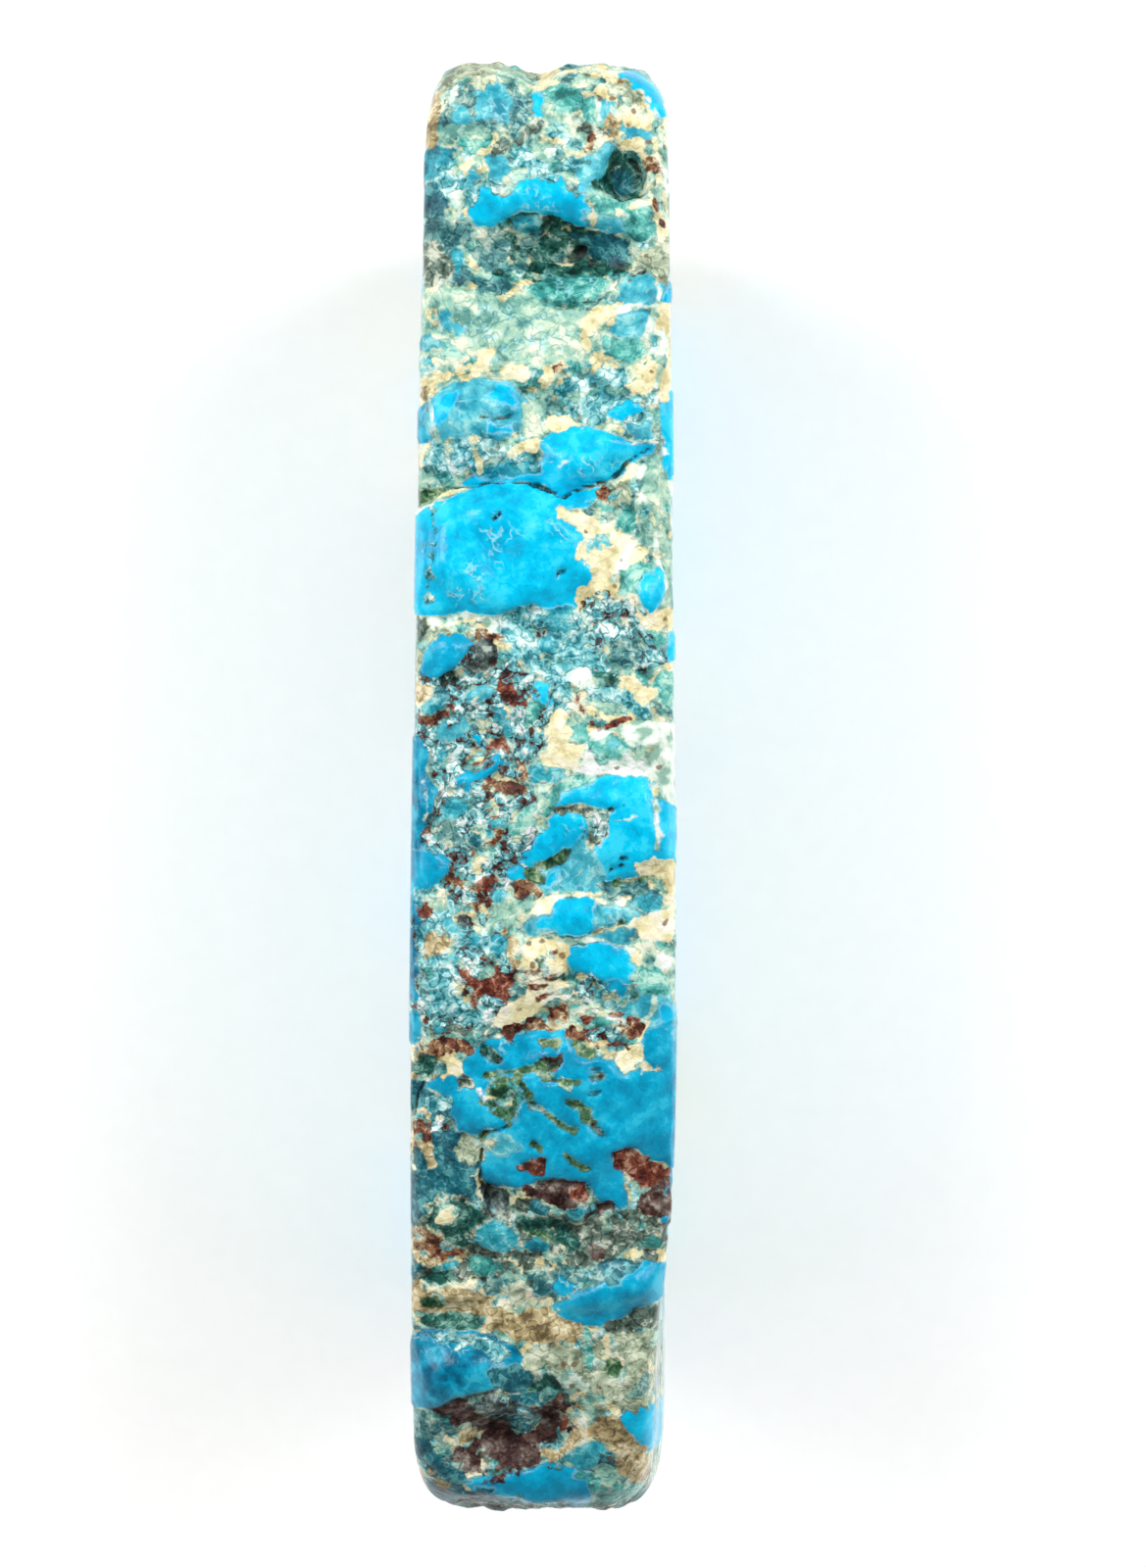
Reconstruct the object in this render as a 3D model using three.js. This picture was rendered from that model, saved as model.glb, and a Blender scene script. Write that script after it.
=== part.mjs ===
// A rough turquoise slab: one slice through a turquoise nodule and its host rock.
//
// Both broad sides are sawn and polished flat, and so is the long edge that it stands on.
// The long edge on top is the nodule's own broken rind, tumbled until it shines but never
// cut: a scooped hollow, round pits, a crack right across, smooth cushions of blue stone
// and a coarse crust between them. The two ends are worn round.
//
// Millimetres. X runs through the thickness, Y along the slab, and Z up from its base.

import * as THREE from "three";
import { ImprovedNoise } from "three/addons/math/ImprovedNoise.js";
import { mergeVertices } from "three/addons/utils/BufferGeometryUtils.js";

const { clamp, degToRad, lerp, smoothstep } = THREE.MathUtils;

// ---------------------------------------------------------------- driving dimensions

const LENGTH = 62.3;
const HEIGHT = 34;
const SAWN_BASE = 48; // length of the flat long edge that it stands on

// Where each broad side lies, from one end of the slab (-Y) to the other: [y, x].
const LEFT_SIDE = [
  [-31, -5.55],
  [-12, -5.5],
  [0, -5.35],
  [20, -5.05],
  [30.5, -4.85],
];
const RIGHT_SIDE = [
  [-31, 4.5],
  [-24, 4.75],
  [-18, 5.3],
  [-11, 5.5],
  [0, 5.45],
  [20, 5.3],
  [30.5, 5.2],
];
const SIDES_PLANE_BY = 15; // this far below the rough edge both sides are plane
const PLANE_HALF = 5.35; // half the thickness there

// Radius of the worn corner between the broad sides and the rim, by place on the rim.
const CORNER = { rough: 1.05, plusEnd: 1.9, minusEnd: 2.0, base: 0.8 };

// The rock's own unevenness on the rind and the ends.
const LUMPS = { size: 3.4, rise: 0.34 };
const GRAIN = { size: 0.9, rise: 0.16 };

// Facets: round the rim, most of them on the rough edge, and across it.
const RIM_STEPS = { rough: 108, end: 32, base: 8 };
const BAND_STEPS = 16;
const CORNER_STEPS = 3;
const SIDE_MIDDLE = new THREE.Vector2(-0.5, HEIGHT / 2);
const SIDE_RINGS = [0.62, 0.24]; // rings on a broad side, as a share of the way to the middle

// ---------------------------------------------------------------- small helpers

// A smooth curve through [place, value] knots.
function profile(knots) {
  const places = knots.map(([place]) => place);
  const values = knots.map(([, value]) => value);
  const curve = new THREE.CubicInterpolant(places, values, 1, new Float32Array(1));
  return (place) => curve.evaluate(place)[0];
}

const lattice = new ImprovedNoise();

// Rock noise: octaves of smooth noise, the first with lumps of the given size.
function rockNoise(p, lump, octaves) {
  let total = 0;
  for (let octave = 0; octave < octaves; octave += 1) {
    const scale = 2 ** octave / lump;
    total += lattice.noise(p.x * scale + 7.3, p.y * scale + 1.9, p.z * scale + 4.1) / 2 ** octave;
  }
  return total;
}

// Distance from (x, y) to a chain of points.
function distanceToChain(x, y, chain) {
  let nearest = Infinity;
  for (let i = 1; i < chain.length; i += 1) {
    const [ax, ay] = chain[i - 1];
    const [bx, by] = chain[i];
    const along = ((x - ax) * (bx - ax) + (y - ay) * (by - ay)) / ((bx - ax) ** 2 + (by - ay) ** 2);
    const share = clamp(along, 0, 1);
    nearest = Math.min(nearest, Math.hypot(x - lerp(ax, bx, share), y - lerp(ay, by, share)));
  }
  return nearest;
}

// ---------------------------------------------------------------- forms of the rough edge

// Lumps stand proud (rise > 0) and hollows are sunk (rise < 0). A form is an oval at [x, y]
// that reaches rx across and up or down along the slab, turned by so many degrees. Its wall
// is the share of the way in over which it climbs: small for a ledge, 1 for a soft dome.
const FORMS = [
  { name: "end knob left", at: [-2.7, 28.9], rx: 2.2, up: 2.0, down: 1.8, wall: 1, rise: 0.35 },
  { name: "end knob right", at: [2.4, 28.6], rx: 2.4, up: 1.6, down: 1.6, wall: 1, rise: 0.3 },
  { name: "upper trough", at: [-0.3, 26.7], rx: 2.6, up: 0.7, down: 0.9, wall: 0.8, rise: -0.45, turn: 12 },
  { name: "deep round pit", at: [3.4, 25.0], rx: 1.25, up: 1.2, down: 1.1, wall: 0.7, rise: -1.5 },
  { name: "blue ledge", at: [-0.3, 24.3], rx: 4.6, up: 1.6, down: 0.8, wall: 0.6, rise: 0.55, turn: -4 },
  { name: "scooped hollow", at: [0.4, 22.1], rx: 5.2, up: 1.3, down: 3.4, wall: 0.7, rise: -1.15, turn: -3 },
  { name: "hollow's heart", at: [1.0, 22.2], rx: 2.6, up: 0.9, down: 1.5, wall: 0.7, rise: -0.8 },
  { name: "left hollow", at: [-4.2, 21.9], rx: 1.4, up: 1.1, down: 1.4, wall: 0.8, rise: -0.5 },
  { name: "right hand dimple", at: [3.2, 18.3], rx: 1.6, up: 1.6, down: 1.5, wall: 0.8, rise: -0.6 },
  { name: "pale swell", at: [-0.6, 17.2], rx: 2.6, up: 1.4, down: 1.3, wall: 1, rise: 0.3 },
  { name: "upper left cushion", at: [-3.2, 15.0], rx: 1.9, up: 1.4, down: 1.3, wall: 0.7, rise: 0.3 },
  { name: "upper right swell", at: [2.0, 13.6], rx: 2.4, up: 1.0, down: 1.4, wall: 0.6, rise: 0.4, turn: 14 },
  { name: "crack undercut", at: [-2.2, 12.7], rx: 2.9, up: 0.7, down: 0.7, wall: 0.7, rise: -0.5 },
  { name: "crack mouth", at: [-4.9, 11.7], rx: 1.0, up: 0.5, down: 0.5, wall: 0.8, rise: -0.7 },
  { name: "great blue plate", at: [-1.6, 9.6], rx: 3.6, up: 2.5, down: 2.6, wall: 0.22, rise: 0.4 },
  { name: "small right knob", at: [4.1, 8.0], rx: 1.2, up: 1.5, down: 1.4, wall: 0.7, rise: 0.35 },
  { name: "crust below the plate", at: [0.6, 5.8], rx: 2.6, up: 0.9, down: 1.2, wall: 0.8, rise: -0.35 },
  { name: "lower left cushion", at: [-3.9, 5.5], rx: 1.1, up: 0.9, down: 1.0, wall: 0.5, rise: 0.35 },
  { name: "dark nook", at: [-3.1, 4.3], rx: 1.1, up: 0.8, down: 0.7, wall: 0.8, rise: -0.55 },
  { name: "white shelf", at: [3.0, 1.4], rx: 3.2, up: 1.0, down: 0.9, wall: 0.6, rise: 0.3 },
  { name: "crust bed", at: [-2.6, -0.9], rx: 2.1, up: 4.6, down: 6.2, wall: 0.3, rise: -0.4 },
  { name: "right blue block", at: [3.3, -1.6], rx: 2.7, up: 2.1, down: 2.0, wall: 0.3, rise: 0.4 },
  { name: "bay in the block", at: [1.3, -1.9], rx: 1.3, up: 1.2, down: 1.4, wall: 0.6, rise: -0.35 },
  { name: "middle tongue", at: [1.4, -5.3], rx: 2.3, up: 0.8, down: 0.8, wall: 0.5, rise: 0.25, turn: -4 },
  { name: "cream knoll", at: [-0.1, -7.2], rx: 1.6, up: 1.2, down: 1.1, wall: 0.7, rise: 0.3 },
  { name: "lower tongue", at: [2.9, -7.3], rx: 1.9, up: 0.8, down: 0.9, wall: 0.5, rise: 0.25 },
  { name: "rust furrow", at: [0.6, -9.5], rx: 4.2, up: 0.7, down: 0.7, wall: 0.8, rise: -0.35, turn: 6 },
  { name: "smooth blue field", at: [0.9, -13.4], rx: 4.4, up: 2.9, down: 2.8, wall: 0.35, rise: 0.35 },
  { name: "rust flake", at: [4.1, -16.1], rx: 1.1, up: 1.4, down: 1.8, wall: 0.5, rise: -0.3 },
  { name: "fissure pit", at: [-1.8, -17.1], rx: 0.9, up: 1.3, down: 1.2, wall: 0.9, rise: -0.7, turn: 24 },
  { name: "left lobe", at: [-4.0, -17.8], rx: 1.8, up: 1.5, down: 1.5, wall: 0.7, rise: 0.3 },
  { name: "slant furrow", at: [1.9, -18.7], rx: 3.4, up: 0.8, down: 0.8, wall: 0.9, rise: -0.5, turn: -16 },
  { name: "blue rib", at: [2.9, -20.8], rx: 2.9, up: 1.1, down: 1.0, wall: 0.8, rise: 0.75, turn: 18 },
  { name: "green pocket", at: [-3.7, -21.9], rx: 1.8, up: 0.6, down: 0.5, wall: 0.8, rise: -0.75 },
  { name: "brown trough", at: [-0.2, -21.7], rx: 2.8, up: 0.9, down: 0.8, wall: 0.9, rise: -0.4, turn: -10 },
  { name: "low blue cushion", at: [-3.2, -24.4], rx: 2.9, up: 1.5, down: 1.9, wall: 0.6, rise: 0.75 },
  { name: "pale ribs", at: [2.4, -24.1], rx: 1.9, up: 2.0, down: 2.0, wall: 0.9, rise: -0.3 },
  { name: "rust cavity", at: [-1.3, -27.1], rx: 3.0, up: 1.1, down: 1.5, wall: 0.6, rise: -1.0, turn: 8 },
  { name: "bead in the cavity", at: [-0.7, -26.3], rx: 0.8, up: 0.7, down: 0.7, wall: 1, rise: 0.6 },
  { name: "bottom band", at: [0.0, -29.4], rx: 3.6, up: 0.8, down: 1.2, wall: 0.8, rise: 0.4 },
];

// Cracks and veins that have weathered out: chains of [x, y], a half width and a depth.
const GROOVES = [
  {
    name: "crack right across",
    chain: [
      [-5.4, 11.6],
      [-4.2, 12.1],
      [-2.0, 12.4],
      [-0.4, 12.3],
      [0.8, 11.8],
      [1.2, 12.1],
      [2.9, 12.7],
      [4.2, 13.7],
      [5.3, 14.1],
    ],
    half: 0.62,
    depth: 0.6,
  },
  {
    name: "fissure",
    chain: [
      [-4.8, -12.6],
      [-3.6, -14.4],
      [-2.5, -15.2],
      [-2.3, -16.4],
      [-1.2, -17.9],
    ],
    half: 0.65,
    depth: 0.4,
  },
  {
    name: "seam under the plate",
    chain: [
      [-5.3, 6.4],
      [-3.2, 6.9],
      [-1.0, 6.6],
    ],
    half: 0.6,
    depth: 0.35,
  },
];

function formHeight(form, x, y) {
  const turn = degToRad(form.turn ?? 0);
  const dx = x - form.at[0];
  const dy = y - form.at[1];
  const across = dx * Math.cos(turn) + dy * Math.sin(turn);
  const along = -dx * Math.sin(turn) + dy * Math.cos(turn);
  const reach = Math.hypot(across / form.rx, along / (along > 0 ? form.up : form.down));
  return form.rise * (1 - smoothstep(reach, 1 - form.wall, 1));
}

// How far the rough edge stands out at (x, y).
function reliefAt(x, y) {
  let height = 0;
  for (const form of FORMS) {
    height += formHeight(form, x, y);
  }
  for (const groove of GROOVES) {
    height -= groove.depth * (1 - smoothstep(distanceToChain(x, y, groove.chain), 0, groove.half));
  }
  return height;
}

// ---------------------------------------------------------------- the rim of the slab

// The outline of the broad sides in the (y, z) plane is four curves, end to end. The rough
// edge is a long low arch from the +Y end that falls away at -Y.
function roughOutline() {
  const path = new THREE.Path();
  path.moveTo(30.4, 28.8);
  path.splineThru(
    [
      [29.3, 31.3],
      [26.5, 32.7],
      [18, 33.5],
      [6, 34],
      [-6, 33.9],
      [-14, 33.2],
      [-20, 32.1],
      [-26, 30.6],
      [-29.6, 28.8],
      [-31.1, 25.8],
    ].map(([y, z]) => new THREE.Vector2(y, z)),
  );
  return path;
}

// Down the worn -Y end, which bellies out and then runs in under itself.
function minusEndOutline() {
  const path = new THREE.Path();
  path.moveTo(-31.1, 25.8);
  path.bezierCurveTo(-31.9, 22.4, -30.2, 18, -29.8, 14);
  path.bezierCurveTo(-29.4, 10, -27.4, 7, -26.8, 4);
  path.bezierCurveTo(-26.4, 1.6, -25.8, 0, -SAWN_BASE / 2, 0);
  return path;
}

function baseOutline() {
  const path = new THREE.Path();
  path.moveTo(-SAWN_BASE / 2, 0);
  path.lineTo(SAWN_BASE / 2, 0);
  return path;
}

// Up the worn +Y end, with a waist below its top.
function plusEndOutline() {
  const path = new THREE.Path();
  path.moveTo(SAWN_BASE / 2, 0);
  path.bezierCurveTo(26.4, 0, 27.6, 1.5, 28.2, 4.5);
  path.bezierCurveTo(29.0, 8.5, 29.8, 11, 29.4, 15);
  path.bezierCurveTo(29.0, 19, 31.0, 24, 30.4, 28.8);
  return path;
}

// Every place round the rim: where it is, which way it faces and how its corners are worn.
function rimPlaces() {
  const points = [
    [roughOutline(), RIM_STEPS.rough],
    [minusEndOutline(), RIM_STEPS.end],
    [baseOutline(), RIM_STEPS.base],
    [plusEndOutline(), RIM_STEPS.end],
  ].flatMap(([outline, steps]) => outline.getSpacedPoints(steps).slice(0, -1));
  return points.map((point, i) => {
    const before = points.at(i - 1);
    const after = points[(i + 1) % points.length];
    const way = after.clone().sub(before).normalize();
    const outward = new THREE.Vector2(way.y, -way.x);
    const flank = outward.y > 0 ? CORNER.rough : CORNER.base;
    const end = outward.x > 0 ? CORNER.plusEnd : CORNER.minusEnd;
    const worn = lerp(flank, end, smoothstep(Math.abs(outward.x), 0.25, 0.9));
    return {
      point,
      outward,
      corner: lerp(worn, CORNER.base, smoothstep(HEIGHT - point.y, 12, 30)),
      // 1 on the rind and the worn ends, 0 on the sawn base
      natural: smoothstep(point.y, 0.2, 5),
      top: smoothstep(outward.y, 0.1, 0.75),
    };
  });
}

const leftSide = profile(LEFT_SIDE);
const rightSide = profile(RIGHT_SIDE);

// X of a broad side. Low down both sides are plane, and up at the rough edge they follow
// the nodule a little.
function sideAt(right, y, z) {
  const shaped = right ? rightSide(y) : leftSide(y);
  const plane = right ? PLANE_HALF : -PLANE_HALF;
  return lerp(shaped, plane, smoothstep(HEIGHT - z, 3, SIDES_PLANE_BY));
}

// ---------------------------------------------------------------- the solid

// One row of facets for each step from the middle of one broad side, over its worn corner,
// across the rim and back to the middle of the other side. 'in' runs from 1 at the middle
// of a side to 0 at its edge, 'turn' is the angle round the corner, and 'across' the share
// of the way over the rim.
function crossRows() {
  const side = (right) => [
    { right, in: 1, turn: 0 },
    ...SIDE_RINGS.map((share) => ({ right, in: share, turn: 0 })),
    ...Array.from({ length: CORNER_STEPS }, (_, i) => ({
      right,
      in: 0,
      turn: (Math.PI / 2) * (i / CORNER_STEPS),
    })),
  ];
  const band = Array.from({ length: BAND_STEPS + 1 }, (_, i) => ({ across: 1 - i / BAND_STEPS }));
  return [...side(true), ...band, ...side(false).reverse()];
}

// A notch in the +Y end where two knobs of the nodule meet.
const END_NOTCH = { x: -0.25, half: 1.0, depth: 0.55, reach: 9 };

function endRelief(x, place) {
  const notch = 1 - smoothstep(Math.abs(x - END_NOTCH.x), 0, END_NOTCH.half);
  const near = 1 - smoothstep(HEIGHT - place.point.y, 2, END_NOTCH.reach);
  return place.outward.x > 0.3 ? -END_NOTCH.depth * notch * near : 0;
}

function surfacePoint(row, place) {
  const { point, outward, corner } = place;
  const left = sideAt(false, point.x, point.y);
  const right = sideAt(true, point.x, point.y);
  if (row.across === undefined) {
    const face = row.right ? right : left;
    const inward = row.right ? -1 : 1;
    const inset = corner * (1 - Math.sin(row.turn));
    const edge = point.clone().addScaledVector(outward, -inset);
    const at = edge.lerp(SIDE_MIDDLE, row.in);
    const round = face + inward * corner * (1 - Math.cos(row.turn));
    const x = row.in > 0 ? sideAt(row.right, at.x, at.y) : round;
    return raised(new THREE.Vector3(x, at.x, at.y), place, Math.sin(row.turn) ** 2);
  }
  const x = lerp(left + corner, right - corner, row.across);
  return raised(new THREE.Vector3(x, point.x, point.y), place, 1);
}

// Moves a point of the rim out or in by the forms, the grooves and the rock's own grain.
function raised(p, place, share) {
  const { outward, natural, top } = place;
  const lumps = LUMPS.rise * rockNoise(p, LUMPS.size, 3);
  const grain = GRAIN.rise * rockNoise(p, GRAIN.size, 2);
  const forms = top * reliefAt(p.x, p.y) + endRelief(p.x, place);
  const out = share * natural * (forms + lumps + grain);
  return new THREE.Vector3(p.x, p.y + outward.x * out, p.z + outward.y * out);
}

// The slab is a sphere's grid of facets, drawn over the slab: its poles are the middles of
// the two broad sides, and its rings run round the rim.
function slabGeometry() {
  const rows = crossRows();
  const places = rimPlaces();
  const geometry = new THREE.SphereGeometry(1, places.length, rows.length - 1);
  const position = geometry.getAttribute("position");
  rows.forEach((row, i) => {
    for (let j = 0; j <= places.length; j += 1) {
      const p = surfacePoint(row, places[j % places.length]);
      position.setXYZ(i * (places.length + 1) + j, p.x, p.y, p.z);
    }
  });
  geometry.deleteAttribute("normal");
  geometry.deleteAttribute("uv");
  const closed = mergeVertices(geometry, 1e-4);
  closed.computeBoundingBox();
  const { min, max } = closed.boundingBox;
  closed.translate(-(min.x + max.x) / 2, -(min.y + max.y) / 2, -min.z);
  closed.scale(1, LENGTH / (max.y - min.y), 1);
  closed.computeVertexNormals();
  return closed;
}

const turquoise = new THREE.MeshStandardMaterial({ color: 0x2fa9c4, roughness: 0.35, metalness: 0 });

const slab = new THREE.Mesh(slabGeometry(), turquoise);
slab.name = "slab";

const object = new THREE.Group();
object.add(slab);

export default object;
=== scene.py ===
"""Looks of a rough turquoise slab: a flat cut of nodular turquoise, polished on both broad sides, with one
natural rough edge turned up. The stone is one piece. Its markings on the rough edge are drawn as
patches of each mineral; on the polished sides, the ends and the sawn base the same minerals go on as nodules
and veins through the stone."""

import math

import bmesh
import bpy
import numpy as np
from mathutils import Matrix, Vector, noise


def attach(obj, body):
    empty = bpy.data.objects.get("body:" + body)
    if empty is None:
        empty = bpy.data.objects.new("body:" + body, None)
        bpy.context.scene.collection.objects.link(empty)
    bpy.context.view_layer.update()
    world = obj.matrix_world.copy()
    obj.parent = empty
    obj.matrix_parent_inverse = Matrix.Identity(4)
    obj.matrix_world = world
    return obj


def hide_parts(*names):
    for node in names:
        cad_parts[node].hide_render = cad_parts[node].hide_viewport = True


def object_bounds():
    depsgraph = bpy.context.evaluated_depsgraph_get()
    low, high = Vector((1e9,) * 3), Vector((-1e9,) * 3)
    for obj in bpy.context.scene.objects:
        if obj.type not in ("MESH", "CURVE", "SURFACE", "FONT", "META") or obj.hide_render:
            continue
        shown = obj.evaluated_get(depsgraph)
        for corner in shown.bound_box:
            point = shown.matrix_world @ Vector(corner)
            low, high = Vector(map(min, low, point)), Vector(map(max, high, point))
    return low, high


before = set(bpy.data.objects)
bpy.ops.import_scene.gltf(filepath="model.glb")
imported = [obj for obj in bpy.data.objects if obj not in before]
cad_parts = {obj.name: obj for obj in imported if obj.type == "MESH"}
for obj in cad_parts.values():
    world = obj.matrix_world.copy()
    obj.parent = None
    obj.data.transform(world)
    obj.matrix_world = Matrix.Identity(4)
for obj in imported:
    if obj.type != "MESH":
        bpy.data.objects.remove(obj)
cad_low, cad_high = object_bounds()

MM = 0.001

# The camera looks straight down on the rough edge. The frame is 64 mm tall at the level of that edge.
IMAGE = (1169, 1600)
LENS, SENSOR = 85.0, 36.0
FRAME_TALL = 64.0
EDGE_LEVEL = cad_high.z / MM - 0.6
CAMERA_HIGH = FRAME_TALL * LENS / SENSOR
CAMERA_AT = (1.26, 0.49)

# The markings are drawn on a grid of 25 steps to the millimetre, as the camera sees it: x to the right and
# y down.
STEPS_PER_MM = IMAGE[1] / FRAME_TALL
GRID_MIDDLE = (IMAGE[0] / 2, IMAGE[1] / 2)

# How far from a patch's rim its field is kept, in millimetres: past it, a spot is plainly in or out.
FIELD_REACH = 0.5

# The rims wander a little, as mineral borders do, so that no drawn line stays straight: the length of each
# wander in mm and its sway in steps of the grid.
RIM_WANDER = [(1.1, 3.0), (0.45, 1.6)]


def linear(code):
    """An sRGB hex colour as linear RGBA."""
    parts = [int(code[i:i + 2], 16) / 255 for i in (1, 3, 5)]
    return [p / 12.92 if p <= 0.04045 else ((p + 0.055) / 1.055) ** 2.4 for p in parts] + [1.0]


# ---------------------------------------------------------------- minerals

class Mineral:
    """One of the stone's minerals: its colours from dark to light, how much of their play comes from each
    texture (broad mottle, clots, fine curls, separate grains), how high it stands over the rest of the stone,
    how bumpy and how rough it is, how ragged its patches end and how far they reach under their neighbours,
    in mm, and how pale a rind it ends in."""

    def __init__(self, colours, play=(0.25, 0.4, 0.35, 0.0), rise=0.0, grain=0.04, rough=0.45, ragged=0.14,
                 under=0.0, rind=0.0):
        self.colours = colours
        self.play = play
        self.rise, self.grain, self.rough, self.ragged = rise, grain, rough, ragged
        self.under, self.rind = under, rind


MINERALS = {
    # bright turquoise, dense enough to take a polish
    "blue": Mineral(["#00a9d3", "#00bde8", "#02cbf4", "#34dafa"], (0.45, 0.35, 0.2, 0.0), rise=0.12,
                    grain=0.008, rough=0.22, ragged=0.07, under=0.1, rind=0.4),
    # dense turquoise of a deeper blue: in the nodules a blue of its own, on the rough edge partly painted
    # shade where the light falls off, as on the field, the rib and the foot
    "lake": Mineral(["#068db3", "#069fc7", "#0aaed6", "#2ec3e3"], (0.45, 0.35, 0.2, 0.0), rise=0.1,
                    grain=0.01, rough=0.22, ragged=0.07, under=0.1, rind=0.22),
    # the blue turquoise darkened: painted shade on the left rims, which turn away from the light, and on the
    # low cushion where the light falls off at the foot
    "deep": Mineral(["#046080", "#0781a4", "#0b9bbf", "#33b8d4"], (0.45, 0.35, 0.2, 0.0), rise=0.1,
                    grain=0.01, rough=0.22, ragged=0.07, under=0.1, rind=0.2),
    # paler turquoise, softer and a little see-through
    "aqua": Mineral(["#258fa6", "#3fadc0", "#5cc4d2", "#9fe4e4"], (0.4, 0.4, 0.2, 0.0), rise=0.07,
                    grain=0.02, rough=0.3, ragged=0.14, under=0.1, rind=0.35),
    # turquoise with more iron, duller
    "azure": Mineral(["#0f6a7c", "#2292a4", "#43b2c0", "#93d9da"], (0.35, 0.4, 0.25, 0.0), rise=0.07,
                     grain=0.03, rough=0.34, ragged=0.14, under=0.1, rind=0.35),
    # blue-green turquoise, darker: partly the stone's own tone, partly painted shade in hollows, on the rims
    # that turn away from the light and at the foot's end
    "petrol": Mineral(["#0a414d", "#165c6a", "#26727e", "#5fa5a8"], rise=0.03, grain=0.03, rough=0.34,
                      ragged=0.14, under=0.1, rind=0.2),
    # green-blue turquoise at the rims of the nodules
    "teal": Mineral(["#226a66", "#3f9a94", "#6cc4b8", "#c0e8d6"], (0.35, 0.4, 0.25, 0.0), rise=0.04,
                    grain=0.03, rough=0.35, ragged=0.16, under=0.1, rind=0.35),
    # half-weathered turquoise, grey and soft
    "slate": Mineral(["#1f565c", "#3f7c80", "#68a09c", "#b4cdbe"], grain=0.05, rough=0.4, ragged=0.25),
    # chalky green turquoise
    "mint": Mineral(["#5b968c", "#8dbfad", "#b5d8c0", "#eef3da"], (0.35, 0.45, 0.2, 0.0), grain=0.04,
                    rough=0.5, ragged=0.28),
    # crumbled pale blue grains
    "ice": Mineral(["#17707c", "#54aeb6", "#95d5d6", "#e8fdf8"], (0.1, 0.4, 0.35, 0.15), rise=-0.02,
                   grain=0.06, rough=0.42, ragged=0.3),
    # clay stained by limonite
    "cream": Mineral(["#cfc28c", "#ece1b0", "#f8f0c6", "#fffae0"], (0.35, 0.5, 0.15, 0.0), rise=0.03,
                     grain=0.035, rough=0.5, ragged=0.2),
    # clean yellow clay
    "butter": Mineral(["#ebe0ae", "#fbf2c8", "#fffadc", "#fffdf0"], (0.35, 0.5, 0.15, 0.0), rise=0.03,
                      grain=0.03, rough=0.5, ragged=0.16),
    # clean white clay
    "chalk": Mineral(["#8fb8a6", "#d3e9d8", "#f4faf0", "#ffffff"], (0.4, 0.6, 0.0, 0.0), rise=0.06,
                     grain=0.03, rough=0.4, ragged=0.12),
    # clay mixed with fine sand
    "sand": Mineral(["#6d7c66", "#95a58b", "#bac9aa", "#e5ebd2"], rise=0.02, grain=0.045, rough=0.5,
                    ragged=0.25),
    # sandy host rock
    "tan": Mineral(["#6f5f40", "#a39268", "#cbb98a", "#f1e6c2"], rise=0.0, grain=0.045, rough=0.55,
                   ragged=0.22),
    # grey-brown host rock
    "clay": Mineral(["#2a3a30", "#54695c", "#7b9184", "#d9deca"], rise=-0.05, grain=0.05, rough=0.55,
                    ragged=0.22),
    # iron oxide
    "rust": Mineral(["#34140c", "#6e3a28", "#a07a58", "#ecdcb2"], (0.15, 0.4, 0.25, 0.2), rise=-0.06,
                    grain=0.06, rough=0.5, ragged=0.3),
    # iron oxide, dense and dark red
    "maroon": Mineral(["#35120c", "#662a1c", "#8c4c38", "#c49a80"], (0.15, 0.4, 0.25, 0.2), rise=-0.05,
                      grain=0.06, rough=0.5, ragged=0.14),
    # iron oxide and dark host rock, in the cavity at the foot
    "plum": Mineral(["#240e0c", "#4c2e2a", "#6c5850", "#a39a90"], (0.2, 0.45, 0.2, 0.15), rise=-0.12,
                    grain=0.06, rough=0.45, ragged=0.24),
    # brown-green iron streaks inside the clear blue
    "olive": Mineral(["#0c3520", "#33603f", "#5f8660", "#abc096"], rise=-0.04, grain=0.03, rough=0.4,
                     ragged=0.1),
    # dark green pockets: partly the stone's own green, partly painted shade in the hollow, the pit, the gully
    # and under ledges
    "moss": Mineral(["#06302a", "#1a544a", "#367468", "#86b6a6"], rise=-0.1, grain=0.04, rough=0.35,
                    ragged=0.14),
    # lead-grey rock
    "lead": Mineral(["#1a2220", "#414f4b", "#667672", "#b0c0b6"], (0.2, 0.45, 0.2, 0.15), rise=-0.04,
                    grain=0.05, rough=0.4, ragged=0.2),
    # the bottoms of pits and pores and the darkest of the hollow: mostly painted shade, with a few black
    # grains and flecks of the stone's own
    "dark": Mineral(["#04120d", "#14302a", "#2a463c", "#57705f"], rise=-0.22, grain=0.04, rough=0.5,
                    ragged=0.12),
    # crust of white, blue-green and brown grains
    "salt": Mineral(["#2a1814", "#6f3c2a", "#3f929e", "#7cc8ca", "#cfeee8", "#ffffff"],
                    (0.05, 0.35, 0.35, 0.25), rise=-0.06, grain=0.07, rough=0.42, ragged=0.3),
}

# What lies over the minerals and leaves them in place. Frost is pale scuffs and broken grains, partly painted
# glints on its ridges and painted shade in its furrows.
FROST = "frost"    # scuffs, broken grains and crystal faces
DOTS = "dots"      # brown iron dots
CRACKS = "cracks"  # open cracks and seams

# ---------------------------------------------------------------- markings of the rough edge
# Each patch names its mineral and itself, then goes round its rim point by point on the drawing grid.
# A fourth value makes it a vein: its points are then its middle line and the value is half its width.
# A later patch lies over an earlier one.

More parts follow.
